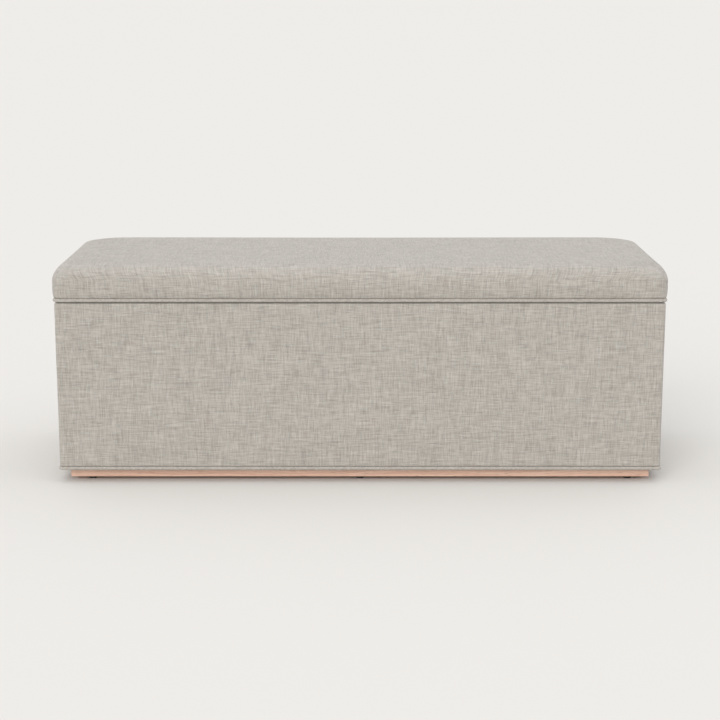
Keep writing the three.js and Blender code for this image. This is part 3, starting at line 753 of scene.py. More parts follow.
reach_x, reach_y = seat_high.x - SWELL, seat_high.y - SWELL
seat_us = grid_lines(reach_x - EDGE_RADIUS + edge_arc, edge_arc, 8, 11 * MM)
seat_vs = grid_lines(reach_y - EDGE_RADIUS + edge_arc, edge_arc, 8, 11 * MM)
seat_rows = [(side_ring(h * MM), STRAIGHT_TOP - h * MM) for h in SIDE_HEIGHTS]
seam_inset, seam_height, _ = side_ring(SEAM)
for turn_in, lift in TUCK:
    ring = (seam_inset + turn_in, seam_height + lift, SEAM_CORNER - turn_in)
    seat_rows.append((ring, STRAIGHT_TOP - SEAM + turn_in))
seat_cover, loop_count = folded_grid("seat_cover_cloth", seat_us, seat_vs, seat_rows, edge_ring,
                                     reach_x, reach_y, linen)
print("seat cover grid", len(seat_us), "x", len(seat_vs), "lines,", len(seat_cover.data.vertices), "points")


# %% Puckers, and the cloth solver
def pucker(obj, first, count, depth):
    """Small uneven pulls along a row of points, as a seam makes them."""
    points = mesh_points(obj.data)
    for k in range(first, first + count):
        x, y, _ = points[k]
        pull = bumps(x * 42, y * 42, 3.0) + 0.6 * bumps(x * 95, y * 95, 8.0)
        away = Vector((x / reach_x, y / reach_y, 0)).normalized()
        points[k] += np.array([-away.x, -away.y, 0.5]) * depth * pull
    set_points(obj.data, points)


def blow_up(obj, held, frames, pressure, cap):
    """Runs the cloth solver with some points held, then moves each point by what the solver did,
    softly limited to cap."""
    start = mesh_points(obj.data)
    pins = obj.vertex_groups.new(name="held")
    pins.add(list(held), 1.0, "REPLACE")
    cloth = obj.modifiers.new("cloth", "CLOTH")
    stiff = {"quality": 6, "mass": 0.3, "tension_stiffness": 120, "compression_stiffness": 120,
             "shear_stiffness": 60, "bending_stiffness": 10, "use_pressure": True,
             "uniform_pressure_force": pressure, "vertex_group_mass": "held"}
    for label, value in stiff.items():
        setattr(cloth.settings, label, value)
    cloth.settings.effector_weights.gravity = 0
    cloth.point_cache.frame_start = 1
    cloth.point_cache.frame_end = frames
    scene = bpy.context.scene
    for step in range(1, frames + 1):
        scene.frame_set(step)
    evaluated = obj.evaluated_get(bpy.context.evaluated_depsgraph_get())
    moved = mesh_points(evaluated.data) - start
    obj.modifiers.clear()
    obj.vertex_groups.clear()
    scene.frame_set(1)
    size = np.linalg.norm(moved, axis=1, keepdims=True)
    set_points(obj.data, start + moved * cap / np.sqrt(cap * cap + size * size))
    return float(size.max())


# %% Blowing the seat cover up
FRAMES, PRESSURE, MOST = 20, 0.35, 1.8 * MM

seam_first = len(seat_us) * len(seat_vs) + (len(SIDE_HEIGHTS) - 1) * loop_count
pucker(seat_cover, seam_first, loop_count, 0.45 * MM)
furthest = blow_up(seat_cover, range(seam_first, len(seat_cover.data.vertices)), FRAMES, PRESSURE, MOST)
print("cloth moved up to", round(furthest * 1000, 1), "mm before the limit")
subdivide(seat_cover)
seat_points = mesh_points(seat_cover.data)
fit = np.array([seat_high.x, seat_high.y]) / np.abs(seat_points[:, :2]).max(axis=0)
print("drawn out by", fit.round(5), "to the lid's full length and depth")
seat_points[:, :2] *= fit
set_points(seat_cover.data, seat_points)
thicken(seat_cover, 1 * MM)
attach(seat_cover, "lid")
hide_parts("seat_cover")
seat_reach = mesh_points(seat_cover.data).max(axis=0)
print("seat cover", len(seat_cover.data.polygons), "faces, up to", seat_reach.round(4))

# %% [markdown]
# ## Foam of the seat
# Under the cloth lies one slab of firm foam, glued to the lid's board. It is the same folded grid,
# a few millimetres smaller, with a flat underside.

# %% Foam slab
FOAM_BACK = 3.5 * MM  # inside the cloth's outer face
FOAM_HEIGHTS = [44, 36, 28, 22, 16.6]  # of the side's rows above the gap, in mm


def foam_ring(distance):
    inset, height, radius = edge_ring(distance)
    return inset + FOAM_BACK, height - FOAM_BACK, radius


foam_us = grid_lines(seat_high.x - EDGE_RADIUS + edge_arc, edge_arc, 6, 40 * MM)
foam_vs = grid_lines(seat_high.y - EDGE_RADIUS + edge_arc, edge_arc, 6, 40 * MM)
foam_rows = []
for h in FOAM_HEIGHTS:
    inset, height, radius = side_ring(h * MM)
    foam_rows.append(((inset + FOAM_BACK, height, radius), STRAIGHT_TOP - h * MM))
foam_rows.append(((9 * MM, board_high.z + 0.3 * MM, 12 * MM), STRAIGHT_TOP))
foam_slab, foam_loop = folded_grid("seat_foam_slab", foam_us, foam_vs, foam_rows, foam_ring,
                                   seat_high.x, seat_high.y, foam)
foam_points = len(foam_slab.data.vertices)
add_faces(foam_slab, [range(foam_points - 1, foam_points - foam_loop - 1, -1)])
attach(foam_slab, "lid")
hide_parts("seat_foam")
print("foam slab", len(foam_slab.data.polygons), "faces")

# %% [markdown]
# ## Covers of the box
# Four panels are sewn into a sleeve that is pulled down over the padded box. The front and back
# panels run round the corners, so the seams lie on the ends, where they show least. At the top the
# cloth rolls over the edge and ends inside the box in a hem. Each panel is a skin over the same
# columns, so the panels meet exactly at their seams, where both dip a little towards the thread.

# %% The covers' rows, from the bottom seam up, over the edge and down inside
CORNER = 8 * MM
TIGHTEST = 0.6 * MM  # the smallest corner radius of any row
TOP_ROUND = 3.6 * MM
INNER_ROUND = 1.5 * MM
PUFF = 0.6 * MM  # the padding lifts the cloth on the top edge a little, away from the hinges
WALL = 22 * MM  # from the outer face to the inner face
RETURN = 31 * MM  # how far the cloth reaches down inside
SEAM_BACK = 8 * MM  # the seams lie this far behind the round corner
HEM = [(1.6, 0.2, 0.0), (0.7, 0.5, 1.0), (0.2, 1.4, 1.0), (0.0, 3.2, 1.8)]  # inset, height, step, in mm
WALL_ROWS, ROUND_ROWS, FLAT_ROWS, INNER_ROWS, RETURN_ROWS = 37, 6, 3, 3, 5
outer_rows = len(HEM) + WALL_ROWS + ROUND_ROWS  # all that can be seen with the lid shut


def cover_rows():
    rows = []

    def add(inset, height, step):
        up = rows[-1][3] + step if rows else 0.0
        rows.append((inset, height, max(CORNER - inset, TIGHTEST), up))

    for inset, height, step in HEM:
        add(inset * MM, cover_bottom + height * MM, step * MM)
    roll = body_top - TOP_ROUND
    heights = np.linspace(rows[-1][1], roll, WALL_ROWS + 1)[1:]
    for height in heights:
        add(0.0, height, heights[1] - heights[0])
    for over, rise in quarter_turn(TOP_ROUND, ROUND_ROWS)[1:]:
        add(over, roll + rise, TOP_ROUND * math.pi / 2 / ROUND_ROWS)
    flat = (WALL - TOP_ROUND - INNER_ROUND) / FLAT_ROWS
    for k in range(1, FLAT_ROWS + 1):
        add(TOP_ROUND + flat * k, body_top, flat)
    for fall, over in quarter_turn(INNER_ROUND, INNER_ROWS)[1:]:
        add(WALL - INNER_ROUND + over, body_top - fall, INNER_ROUND * math.pi / 2 / INNER_ROWS)
    inside = np.linspace(body_top - INNER_ROUND, body_top - RETURN, RETURN_ROWS + 1)[1:]
    for height in inside:
        add(WALL, height, inside[0] - inside[1])
    return rows


covers_rows = cover_rows()
core_x, core_y = half_w - CORNER, half_d - CORNER
seam_at = core_y - SEAM_BACK  # how far from the middle of an end wall the seams lie
near_seam = [SEAM_BACK + d * MM for d in (-5, -3, -1.8, -0.9, 0, 0.9, 1.8, 3, 5)]
cover_columns, cover_round = ring_columns(core_x, core_y, CORNER, 11 * MM, 6,
                                          fine_x=[4 * MM], fine_y=near_seam)

# %% Cutting the sleeve into four panels
TOUCHING = 1e-6
SQUARE_ON = 0.999  # a column that faces along X this much is on an end wall

panels = {  # by a column's Y and its facing along X
    "front": lambda y, facing: y <= TOUCHING - seam_at,
    "back": lambda y, facing: y >= seam_at - TOUCHING,
    "right": lambda y, facing: facing > SQUARE_ON and abs(y) <= seam_at + TOUCHING,
    "left": lambda y, facing: facing < -SQUARE_ON and abs(y) <= seam_at + TOUCHING,
}


def panel_columns(side):
    """One panel's columns, in one unbroken run."""
    flags = [panels[side](column[1] * core_y, column[2]) for column in cover_columns]
    count = len(flags)
    start = next(i for i in range(count) if flags[i] and not flags[i - 1])
    run = []
    for step in range(start, start + count):
        if not flags[step % count]:
            break
        *place, along = cover_columns[step % count]
        run.append((*place, along + (cover_round if step >= count else 0.0)))
    return run


# %% Four covers
SEAM_DIP, SEAM_WIDTH = 0.9 * MM, 1.5 * MM
UNEVEN = 0.28 * MM
HINGE_STRIP, HINGE_FADE = 45 * MM, 20 * MM  # the cloth lies flat here, under the hinges


def shape_cover(obj, columns):
    """Dips the skin at its seams and gives the stretched cloth a faint unevenness."""
    points = mesh_points(obj.data)
    for r, (inset, height, _, _) in enumerate(covers_rows):
        for k, (_, fy, nx, ny, _) in enumerate(columns):
            p = points[r * len(columns) + k]
            to_seam = abs(abs(fy) * core_y - seam_at) if abs(nx) >= SQUARE_ON else 1.0
            dip = SEAM_DIP * math.exp(-(to_seam / SEAM_WIDTH) ** 2)
            if r < outer_rows:
                broad = bumps(p[0] * 7, p[1] * 7, p[2] * 9 + 4.0)
                small = bumps(p[0] * 19, p[1] * 19, p[2] * 21 + 9.0)
                inward = dip + UNEVEN * (broad + 0.5 * small + 0.6) * (0.2 + 0.8 * min(1.0, r / 5))
                p[0] -= nx * inward
                p[1] -= ny * inward
            elif inset < WALL - TOUCHING:
                p[2] -= dip
            on_top = height - body_top + TOP_ROUND
            if r >= outer_rows - ROUND_ROWS and on_top > 0:
                away_from_hinges = min(1.0, max(0.0, (half_d - HINGE_STRIP - p[1]) / HINGE_FADE))
                p[2] += PUFF * away_from_hinges * min(1.0, on_top / (2 * MM))
    set_points(obj.data, points)


for side in panels:
    columns = panel_columns(side)
    panel = skin(f"{side}_cover_cloth", columns, covers_rows, half_w, half_d, linen)
    shape_cover(panel, columns)
    thicken(panel, 0.9 * MM)
    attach(panel, "base")
    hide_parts(f"{side}_cover")
    cut = (round(columns[-1][4] - columns[0][4], 4), round(covers_rows[-1][3], 4))
    print(side, "cover:", len(columns), "columns,", len(panel.data.polygons), "faces")

# %% [markdown]
# ## Padding under the covers
# A thin sheet of foam softens each wall. It stays inside the cloth, so only its thickness and its
# round top edge matter. Its section is one closed ring, swept along the same columns as its cover.

# %% Four wall pads
PAD_OUT, PAD_IN = 1.25 * MM, 5.8 * MM  # from the cloth's outer face
PAD_ROUND = 3.2 * MM


def padding_rows():
    bottom, top = cover_bottom + 1.5 * MM, body_top - 1.3 * MM
    middle = (bottom + top) / 2
    section = [(PAD_OUT, bottom), (PAD_OUT, middle)]
    section += [(PAD_OUT + over, top - PAD_ROUND + rise) for over, rise in quarter_turn(PAD_ROUND, 4)]
    section += [(PAD_IN, top), (PAD_IN, middle), (PAD_IN, bottom)]
    return [(inset, height, max(CORNER - inset, TIGHTEST), inset + height) for inset, height in section]


pad_rows = padding_rows()
for side in panels:
    columns = panel_columns(side)
    pad = skin(f"{side}_wall_pad", columns, pad_rows, half_w, half_d, foam, looped=True)
    count = len(columns)
    add_faces(pad, [[r * count + end for r in range(len(pad_rows))] for end in (0, count - 1)])
    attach(pad, "base")
    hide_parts(f"{side}_padding")
print("four wall pads,", round((PAD_IN - PAD_OUT) * 1000, 1), "mm thick")

# %% [markdown]
# ## Piping
# A thin cord in a strip of the same linen is sewn into the lid's lower edge and the box's bottom
# edge. The strip is cut on the bias so that it bends round corners, and its weave therefore runs
# at 45 degrees. A curve with a round section would do, but a looped skin lets the cord swell and
# pinch a little, and it keeps the strip's own weave.

# %% Two loops of piping
PIPING = 4 * MM  # radius
PIPING_SIDES = 14
FRAME_SIDES = 8  # the frame's own piping is an eight-sided bar


def piping_rows(height, corner):
    rows = []
    for side in range(PIPING_SIDES):
        angle = side / PIPING_SIDES * 2 * math.pi
        inset = PIPING * (1 - math.cos(angle))
        rows.append((inset, height + PIPING * math.sin(angle), corner - inset, angle * PIPING))
    return rows


def make_piping(name, node, body, corner, seed):
    low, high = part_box(node)
    tip = high.x + PIPING * (1 - math.cos(math.pi / FRAME_SIDES)) - half_w
    columns, length = ring_columns(half_w + tip - corner, half_d + tip - corner, corner, 6 * MM, 8)
    cord = skin(name, columns, piping_rows((low.z + high.z) / 2, corner), half_w + tip, half_d + tip, linen,
                closed=length, looped=True, bias=math.pi / 4)
    points = mesh_points(cord.data)
    for k, (_, _, _, _, along) in enumerate(columns):
        swell = 0.035 * bumps(along * 60, seed, 0) + 0.025 * bumps(along * 170, seed, 5)
        ring = points[k::len(columns)]
        centre = ring.mean(axis=0)
        points[k::len(columns)] = centre + (ring - centre) * (1 + swell)
    set_points(cord.data, points)
    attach(cord, body)
    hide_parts(node)
    print(name, "is", round(length, 3), "m round, reaches", round(tip * 1000, 2), "mm past the box")


make_piping("lid_piping_cord", "lid_piping", "lid", 14 * MM, 1.0)
make_piping("base_piping_cord", "base_piping", "base", 8.15 * MM, 2.0)

# %% [markdown]
# ## Oak plinth
# Four rails with mitred corners. A sawn block has sharp edges, but real rails have their edges
# eased with sandpaper, and that thin round edge catches the light along the bottom.
# Each rail is drawn as its outline and then bevelled. The grain has to run along each rail, so the
# rails carry a "grain" attribute whose first number always runs lengthwise.

# %% Mitred rails
RAIL_WIDTH = 45 * MM
EASED = 1.1 * MM  # of the rounded edges
EDGE_FACE = 1e-4  # in square metres; only the faces of the eased edges are smaller


def make_rail(name, node, lengthwise, shift):
    low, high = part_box(node)
    if lengthwise == "x":
        outer, inner = (low.y, high.y) if low.y < 0 else (high.y, low.y)
        plan = [(low.x, outer), (high.x, outer), (high.x - RAIL_WIDTH, inner), (low.x + RAIL_WIDTH, inner)]
    else:
        outer, inner = (low.x, high.x) if low.x < 0 else (high.x, low.x)
        plan = [(outer, low.y), (outer, high.y), (inner, high.y - RAIL_WIDTH), (inner, low.y + RAIL_WIDTH)]
    mesh = bpy.data.meshes.new(name)
    cage = bmesh.new()
    floor_ring = [cage.verts.new((x, y, low.z)) for x, y in plan]
    top_ring = [cage.verts.new((x, y, high.z)) for x, y in plan]
    cage.faces.new(floor_ring)
    cage.faces.new(top_ring)
    for i in range(4):
        j = (i + 1) % 4
        cage.faces.new((floor_ring[i], floor_ring[j], top_ring[j], top_ring[i]))
    bmesh.ops.recalc_face_normals(cage, faces=cage.faces)
    bmesh.ops.bevel(cage, geom=list(cage.edges), offset=EASED, segments=3, profile=0.5, affect="EDGES")
    cage.to_mesh(mesh)
    cage.free()
    mesh.materials.append(oak)
    rail = new_object(name, mesh)
    order = (0, 1, 2) if lengthwise == "x" else (1, 0, 2)
    store_vectors(mesh, "grain", mesh_points(mesh)[:, order] + np.array(shift))
    eased = [face.area < EDGE_FACE and len(face.vertices) == 4 for face in mesh.polygons]
    mesh.polygons.foreach_set("use_smooth", eased)
    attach(rail, "base")
    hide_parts(node)


for index, (side, lengthwise) in enumerate([("front", "x"), ("back", "x"), ("left", "y"), ("right", "y")]):
    make_rail(f"{side}_plinth_timber", f"{side}_plinth_rail", lengthwise, (1.7 * index, 0.31 * index, 0.0))
print("four oak rails,", round(RAIL_WIDTH * 1000), "mm wide")

# %% [markdown]
# ## Glides and struts
# The glides are nail-on plastic feet: a shallow dish with a rounded rim. Each strut is a closed tube
# with a thin polished rod sliding out of it. Glides and tubes are turned shapes, so one helper spins
# a profile round an axis. A tube's ends are rolled in, so its profile has small round shoulders and a
# groove behind each. It lies on the line between the strut's two pivots and rides on its own body.


# %% Turned pieces
def turned(name, start, direction, profile, material, sides=40):
    """Spins (radius, distance) pairs, in millimetres, round an axis. The profile starts and ends on it."""
    axis = Vector(direction).normalized()
    side = axis.orthogonal().normalized()
    other = axis.cross(side)
    points, faces, rings = [], [], []
    for radius, distance in profile:
        centre = Vector(start) + axis * distance * MM
        count = sides if radius else 1
        rings.append(list(range(len(points), len(points) + count)))
        for k in range(count):
            angle = 2 * math.pi * k / sides
            points.append(centre + (side * math.cos(angle) + other * math.sin(angle)) * radius * MM)
    for low, high in zip(rings, rings[1:]):
        for k in range(sides):
            n = (k + 1) % sides
            if len(low) == 1:
                faces.append((low[0], high[n], high[k]))
            elif len(high) == 1:
                faces.append((low[k], low[n], high[0]))
            else:
                faces.append((low[k], low[n], high[n], high[k]))
    obj = mesh_object(name, points, faces, material=material)
    obj.data.set_sharp_from_angle(angle=math.radians(38))
    return obj


# %% Six glides
for row in ("front", "back"):
    for column in ("left", "middle", "right"):
        node = f"{row}_{column}_glide"
        low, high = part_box(node)
        tall = (high.z - low.z) / MM
        profile = [(0, 0.4), (5.6, 0.4), (6.2, 0.0), (7.6, 0.0), (8.5, 0.5), (9, 1.6), (9, tall - 0.5),
                   (8.6, tall), (0, tall)]
        under_middle = ((low.x + high.x) / 2, (low.y + high.y) / 2, low.z)
        glide = turned(f"{node}_foot", under_middle, (0, 0, 1), profile, black_plastic)
        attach(glide, "base")
        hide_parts(node)
print("six glides")

# %% Two strut tubes
TUBE_RADIUS, TUBE_LENGTH = 7.5, 130  # in mm, as the profile is
GROOVE = TUBE_RADIUS - 0.35

closed_end = [(0, 0.0), (5.6, 0.0), (6.8, 0.35), (7.35, 1.1), (TUBE_RADIUS, 2.2)]
groove = [(TUBE_RADIUS, 6), (GROOVE, 7), (GROOVE, 8.2), (TUBE_RADIUS, 9.2)]
far_groove = [(radius, TUBE_LENGTH - distance) for radius, distance in reversed(groove)]
rod_end = [(radius, TUBE_LENGTH - distance) for radius, distance in
           ((TUBE_RADIUS, 2.4), (7.2, 1.1), (6.4, 0.2), (5.2, 0), (3.3, 0.6), (0, 0.6))]
tube_profile = closed_end + groove + far_groove + rod_end

for side in ("left", "right"):
    upward = Vector(joints[f"{side}_strut_stroke"]["axis"]).normalized()
    tube_low, tube_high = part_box(f"{side}_strut_tube")
    start = (tube_low + tube_high) / 2 - upward * (TUBE_LENGTH * MM / 2)
    tube = turned(f"{side}_strut_tube_shell", start, upward, tube_profile, tube_paint, sides=48)
    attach(tube, f"{side}_strut_tube")
    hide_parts(f"{side}_strut_tube")
    frame["nodes"][f"{side}_strut_rod"].data.materials[0] = rod_chrome
    print(side, "strut tube from", [round(c, 4) for c in start], "leaning", [round(c, 3) for c in upward])

# %% [markdown]
# ## Lining
# A plain cotton bag lines the box. It is not glued to the walls, so it hangs in soft, shallow folds
# and rounds off in the corners. The folded grid makes it in one piece: first the floor, then
# walls that rise from it. The folds are pushed in only, away from the boards, and they fade out
# round the struts' plates, which press the cloth flat.

# %% Lining bag
LINING = 0.8 * MM  # thickness
LINING_EDGE = 9 * MM  # radius between floor and wall
LINING_CORNER = 12 * MM
FOLD, RIPPLE = 3.2 * MM, 1.3 * MM  # the most that the walls and the floor move
lining_low, lining_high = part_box("lining")
lining_arc = LINING_EDGE * math.pi / 2
lining_x, lining_y = lining_high.x - LINING, lining_high.y - LINING
lining_floor = lining_low.z + LINING


def lining_ring(distance):
    angle = min(distance, lining_arc) / LINING_EDGE
    past = max(distance - lining_arc, 0.0)
    inset = LINING_EDGE * (1 - math.cos(angle)) + past
    return inset, lining_floor + LINING_EDGE * (1 - math.sin(angle)), max(LINING_CORNER - past, 0.0)


bag_us = grid_lines(lining_x - LINING_EDGE + lining_arc, lining_arc, 4, 14 * MM)
bag_vs = grid_lines(lining_y - LINING_EDGE + lining_arc, lining_arc, 4, 14 * MM)
bag_heights = np.linspace(lining_floor + LINING_EDGE, lining_high.z, 23)[1:]
bag_rows = [((0.0, h, LINING_CORNER), h - lining_floor - LINING_EDGE) for h in bag_heights]
bag, _ = folded_grid("lining_bag", bag_us, bag_vs, bag_rows, lining_ring, lining_x, lining_y, lining_cotton)

# %% Folds in the lining
PLATE_CLEAR = 30 * MM  # the unit of distance in which the folds fade in, away from the plates
TOP_HELD = 60 * MM  # the folds get shallower over this height, up to the hem

plates = {side: sum(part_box(f"{side}_strut_base_bracket"), Vector()) / 2 for side in ("left", "right")}
bag_points = mesh_points(bag.data)
for p in bag_points:
    wall_x = max(0.0, 1 - (lining_x - abs(p[0])) / LINING_EDGE)
    wall_y = max(0.0, 1 - (lining_y - abs(p[1])) / LINING_EDGE)
    clear = min(1.0, max(0.0, min((Vector(p) - c).length for c in plates.values()) / PLATE_CLEAR - 1.2))
    top = min(1.0, (lining_high.z - p[2]) / TOP_HELD)
    fold = 0.5 + bumps((p[0] + p[1]) * 9, p[1] * 2, p[2] * 3) + 0.4 * bumps(p[0] * 27, p[1] * 27, p[2] * 7)
    push = FOLD * max(0.0, fold) * clear * (0.25 + 0.75 * top)
    p[0] -= math.copysign(push * wall_x, p[0])
    p[1] -= math.copysign(push * wall_y, p[1])
    ripple = bumps(p[0] * 6, p[1] * 9, 2.0) + 0.4 * bumps(p[0] * 22, p[1] * 25, 6.0)
    p[2] += RIPPLE * max(0.0, ripple + 0.2) * (1 - max(wall_x, wall_y))
set_points(bag.data, bag_points)
subdivide(bag)
thicken(bag, LINING)
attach(bag, "base")
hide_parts("lining")

# %% [markdown]
# ## Dust cover, lid lining and hem
# Two stretched cloths close the underside of the box and of the lid. Both are nearly flat, so they
# are plain grids: the dust cover sags a little between the rails, and the lid lining has its edge
# turned under, which shows as a thicker rim. Round the lid lining the seat's own linen shows, where
# it is turned round the board's edge and fixed under it.


# %% Stretched cloths
def stretched_cloth(name, node, spacing, height_of, material, thickness):
    low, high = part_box(node)
    us = grid_lines(high.x, 12 * MM, 6, spacing)
    vs = grid_lines(high.y, 12 * MM, 6, spacing)
    points = [(u, v, height_of(u, v, min(high.x - abs(u), high.y - abs(v)))) for v in vs for u in us]
    cloth = mesh_object(name, points, *grid_faces(us, vs, faces_down=True), material)
    thicken(cloth, thickness)
    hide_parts(node)
    return cloth, (2 * high.y, 2 * high.x)


# %% Dust cover
SAG = 2.2 * MM
SAG_X, SAG_Y = 0.2, 0.1  # how far in from the rails the sag grows, in metres
dust_low, dust_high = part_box("dust_cover")
rail_x = abs(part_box("left_plinth_rail")[1].x)
rail_y = abs(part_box("front_plinth_rail")[1].y)


def dust_height(u, v, edge):
    inside = min(1.0, max(0.0, (rail_x - abs(u)) / SAG_X)) * min(1.0, max(0.0, (rail_y - abs(v)) / SAG_Y))
    return dust_low.z + 0.02 * MM - inside * (SAG + 0.25 * MM * bumps(u * 14, v * 20, 1.0))


dust, dust_cut = stretched_cloth("dust_cover_cloth", "dust_cover", 30 * MM, dust_height,
                                 pressed_cloth, 0.45 * MM)
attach(dust, "base")

# %% Lid lining
TURNED_EDGE = 7 * MM  # the cloth is double, and so thicker, this far in


def lid_lining_height(u, v, edge):
    rim = 0.12 * MM * min(1.0, edge / MM) * (1.0 if edge < TURNED_EDGE else 0.35)
    soft = 0.06 * MM * bumps(u * 12, v * 15, 4.0)
    return lid_cloth_low.z + 0.02 * MM - rim + min(0.0, soft)


lid_cloth, lid_cut = stretched_cloth("lid_lining_cloth", "lid_lining", 22 * MM, lid_lining_height,
                                     lining_cotton, 0.4 * MM)
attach(lid_cloth, "lid")
print("dust cover and lid lining")

# %% Linen turned under the lid
BOARD_CORNER = 6  # radius in mm, as in the rows below
TURNED_ROWS = [  # how far in from the board's edge, and how far below its face, in mm
    (-0.12, -2.2), (-0.12, -0.3), (0.4, 0.3), (1.6, 0.45), (4, 0.5), (8, 0.5), (11.5, 0.5),
    (13.2, 0.46), (13.8, 0.3), (14.0, 0.05),
]

board_x, board_y = board_high.x, board_high.y
turned_columns, turned_round = ring_columns(board_x - BOARD_CORNER * MM, board_y - BOARD_CORNER * MM,
                                            BOARD_CORNER * MM, 12 * MM, 6)
turned_rows = []
for inset, drop in reversed(TURNED_ROWS):
    corner = max(BOARD_CORNER * MM - inset * MM, TIGHTEST)
    turned_rows.append((inset * MM, board_low.z - drop * MM, corner, inset * MM))
turned_hem = skin("seat_cover_turned_hem", turned_columns, turned_rows, board_x, board_y, linen,
                  closed=turned_round)
thicken(turned_hem, 0.15 * MM)
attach(turned_hem, "lid")
print("turned hem", len(turned_hem.data.polygons), "faces")

# %% [markdown]
# ## Screws, stitches and staples
# These repeat, so Geometry Nodes place them. One tree puts a cross-head screw on each point of a
# mesh, facing along that point's stored direction. The other runs along a line and lays a short
# bar of thread or wire at even steps, turning each by a small random angle. Each result is one
# plain mesh for the body it rides on.


# %% Helpers for the trees
def node_tree(name, inputs):
    """A Geometry Nodes tree. Returns it with its inputs by name and the input of its end."""
    tree = bpy.data.node_groups.new(name, "GeometryNodeTree")
    tree.interface.new_socket("Geometry", in_out="INPUT", socket_type="NodeSocketGeometry")
    tree.interface.new_socket("Geometry", in_out="OUTPUT", socket_type="NodeSocketGeometry")
    for label, (kind, value) in inputs.items():
        socket = tree.interface.new_socket(label, in_out="INPUT", socket_type="NodeSocket" + kind)
        if value is not None:
            socket.default_value = value
    given = {socket.name: Number(tree, socket) for socket in tree.nodes.new("NodeGroupInput").outputs}
    return tree, given, tree.nodes.new("NodeGroupOutput").inputs[0]


def geo(tree, kind, values, **settings):
    """Adds a node, feeds its inputs by name, and returns its first output."""
    node = tree.nodes.new(kind)
    for label, value in settings.items():
        setattr(node, label, value)
    for label, value in values.items():
        feed(node.inputs[label], value)
    return node.outputs[0]


def scattered(tree, points, shape, towards, axis, least, most, seed):
    """Puts the shape on each point, turns its axis towards a direction and spins it by a random angle."""
    aim = geo(tree, "FunctionNodeAlignRotationToVector", {"Vector": towards}, axis=axis)
    chance = tree.nodes.new("FunctionNodeRandomValue")
    chance.data_type = "FLOAT"
    feed(chance.inputs[2], least)
    feed(chance.inputs[3], most)
    feed(chance.inputs["Seed"], seed)
    spin = combine(tree, 0, 0, chance.outputs[1])
    turn = geo(tree, "FunctionNodeRotateRotation", {"Rotation": aim, "Rotate By": spin},
               rotation_space="LOCAL")
    placed = geo(tree, "GeometryNodeInstanceOnPoints",
                 {"Points": points, "Instance": shape, "Rotation": turn})
    return geo(tree, "GeometryNodeRealizeInstances", {"Geometry": placed})


def grow(obj, tree, values):
    """Runs a tree on an object with the given inputs and keeps the result as its mesh."""
    modifier = obj.modifiers.new(tree.name, "NODES")
    modifier.node_group = tree
    for item in tree.interface.items_tree:
        if item.item_type == "SOCKET" and item.in_out == "INPUT" and item.name in values:
            modifier[item.identifier] = values[item.name]
    bake_modifiers(obj)


# %% The screw tree
def make_screw_tree():
    tree, given, result = node_tree("screws", {
        "Head radius": ("Float", 3.2 * MM), "Head height": ("Float", 1.6 * MM), "Recess": ("Float", 0.26),
        "Most spin": ("Float", 1.5), "Seed": ("Int", 3), "Metal": ("Material", None),
        "Painted recess shade": ("Material", None)})
    radius, height = given["Head radius"], given["Head height"]

    # The head is a low cone with two crossed bars cut out of it.
    head = geo(tree, "GeometryNodeMeshCone", {"Vertices": 24, "Radius Bottom": radius,
                                              "Radius Top": radius * 0.72, "Depth": height})
    arm, slot, deep = radius * 1.05, radius * given["Recess"], height * 1.5
    cut = tree.nodes.new("GeometryNodeMeshBoolean")
    cut.operation = "DIFFERENCE"
    feed(cut.inputs["Mesh 1"], head)
    for size in ((arm, slot, deep), (slot, arm, deep)):
        bar = geo(tree, "GeometryNodeMeshCube", {"Size": combine(tree, *size)})
        lifted = geo(tree, "GeometryNodeTransform",
                     {"Geometry": bar, "Translation": combine(tree, 0, 0, height * 0.6)})
        feed(cut.inputs["Mesh 2"], lifted)

    # A dark disc inside the head shows only at the bottom of the cross: painted shade in the recess, whose real
    # floor is bare steel.
    shade_disc = geo(tree, "GeometryNodeMeshCylinder",
               {"Vertices": 12, "Radius": radius * 0.6, "Depth": height * 0.12})
    sunk = geo(tree, "GeometryNodeTransform",
               {"Geometry": shade_disc, "Translation": combine(tree, 0, 0, height * 0.5)})
    shade_marked = geo(tree, "GeometryNodeStoreNamedAttribute", {"Geometry": sunk, "Name": "recess", "Value": True},
                 data_type="BOOLEAN", domain="FACE")
    screw = tree.nodes.new("GeometryNodeJoinGeometry")
    feed(screw.inputs[0], shade_marked)
    feed(screw.inputs[0], cut.outputs["Mesh"])

    points = geo(tree, "GeometryNodeMeshToPoints", {"Mesh": given["Geometry"]})
    facing = geo(tree, "GeometryNodeInputNamedAttribute", {"Name": "facing"}, data_type="FLOAT_VECTOR")
    real = scattered(tree, points, screw.outputs[0], facing, "Z", 0.0, given["Most spin"], given["Seed"])
    in_painted_shade = geo(tree, "GeometryNodeInputNamedAttribute", {"Name": "recess"}, data_type="BOOLEAN")
    metal = geo(tree, "GeometryNodeSetMaterial", {"Geometry": real, "Material": given["Metal"]})
    # The marked disc gets the dark finish: painted shade at the bottom of the cross.
    feed(result, geo(tree, "GeometryNodeSetMaterial",
                     {"Geometry": metal, "Selection": in_painted_shade, "Material": given["Painted recess shade"]}))
    return tree


screw_tree = make_screw_tree()


def make_screws(name, body, places, radius, height):
    """places is a list of (position, facing)."""
    mesh = bpy.data.meshes.new(name)
    mesh.from_pydata([position for position, _ in places], [], [])
    store_vectors(mesh, "facing", [facing for _, facing in places])
    screws = new_object(name, mesh)
    # The recess floor gets black plastic: painted shade at the bottom of each cross.
    grow(screws, screw_tree, {"Head radius": radius, "Head height": height, "Metal": steel,
                              "Painted recess shade": black_plastic})
    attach(screws, body)
    print(name, len(places), "screws,", len(screws.data.polygons), "faces")


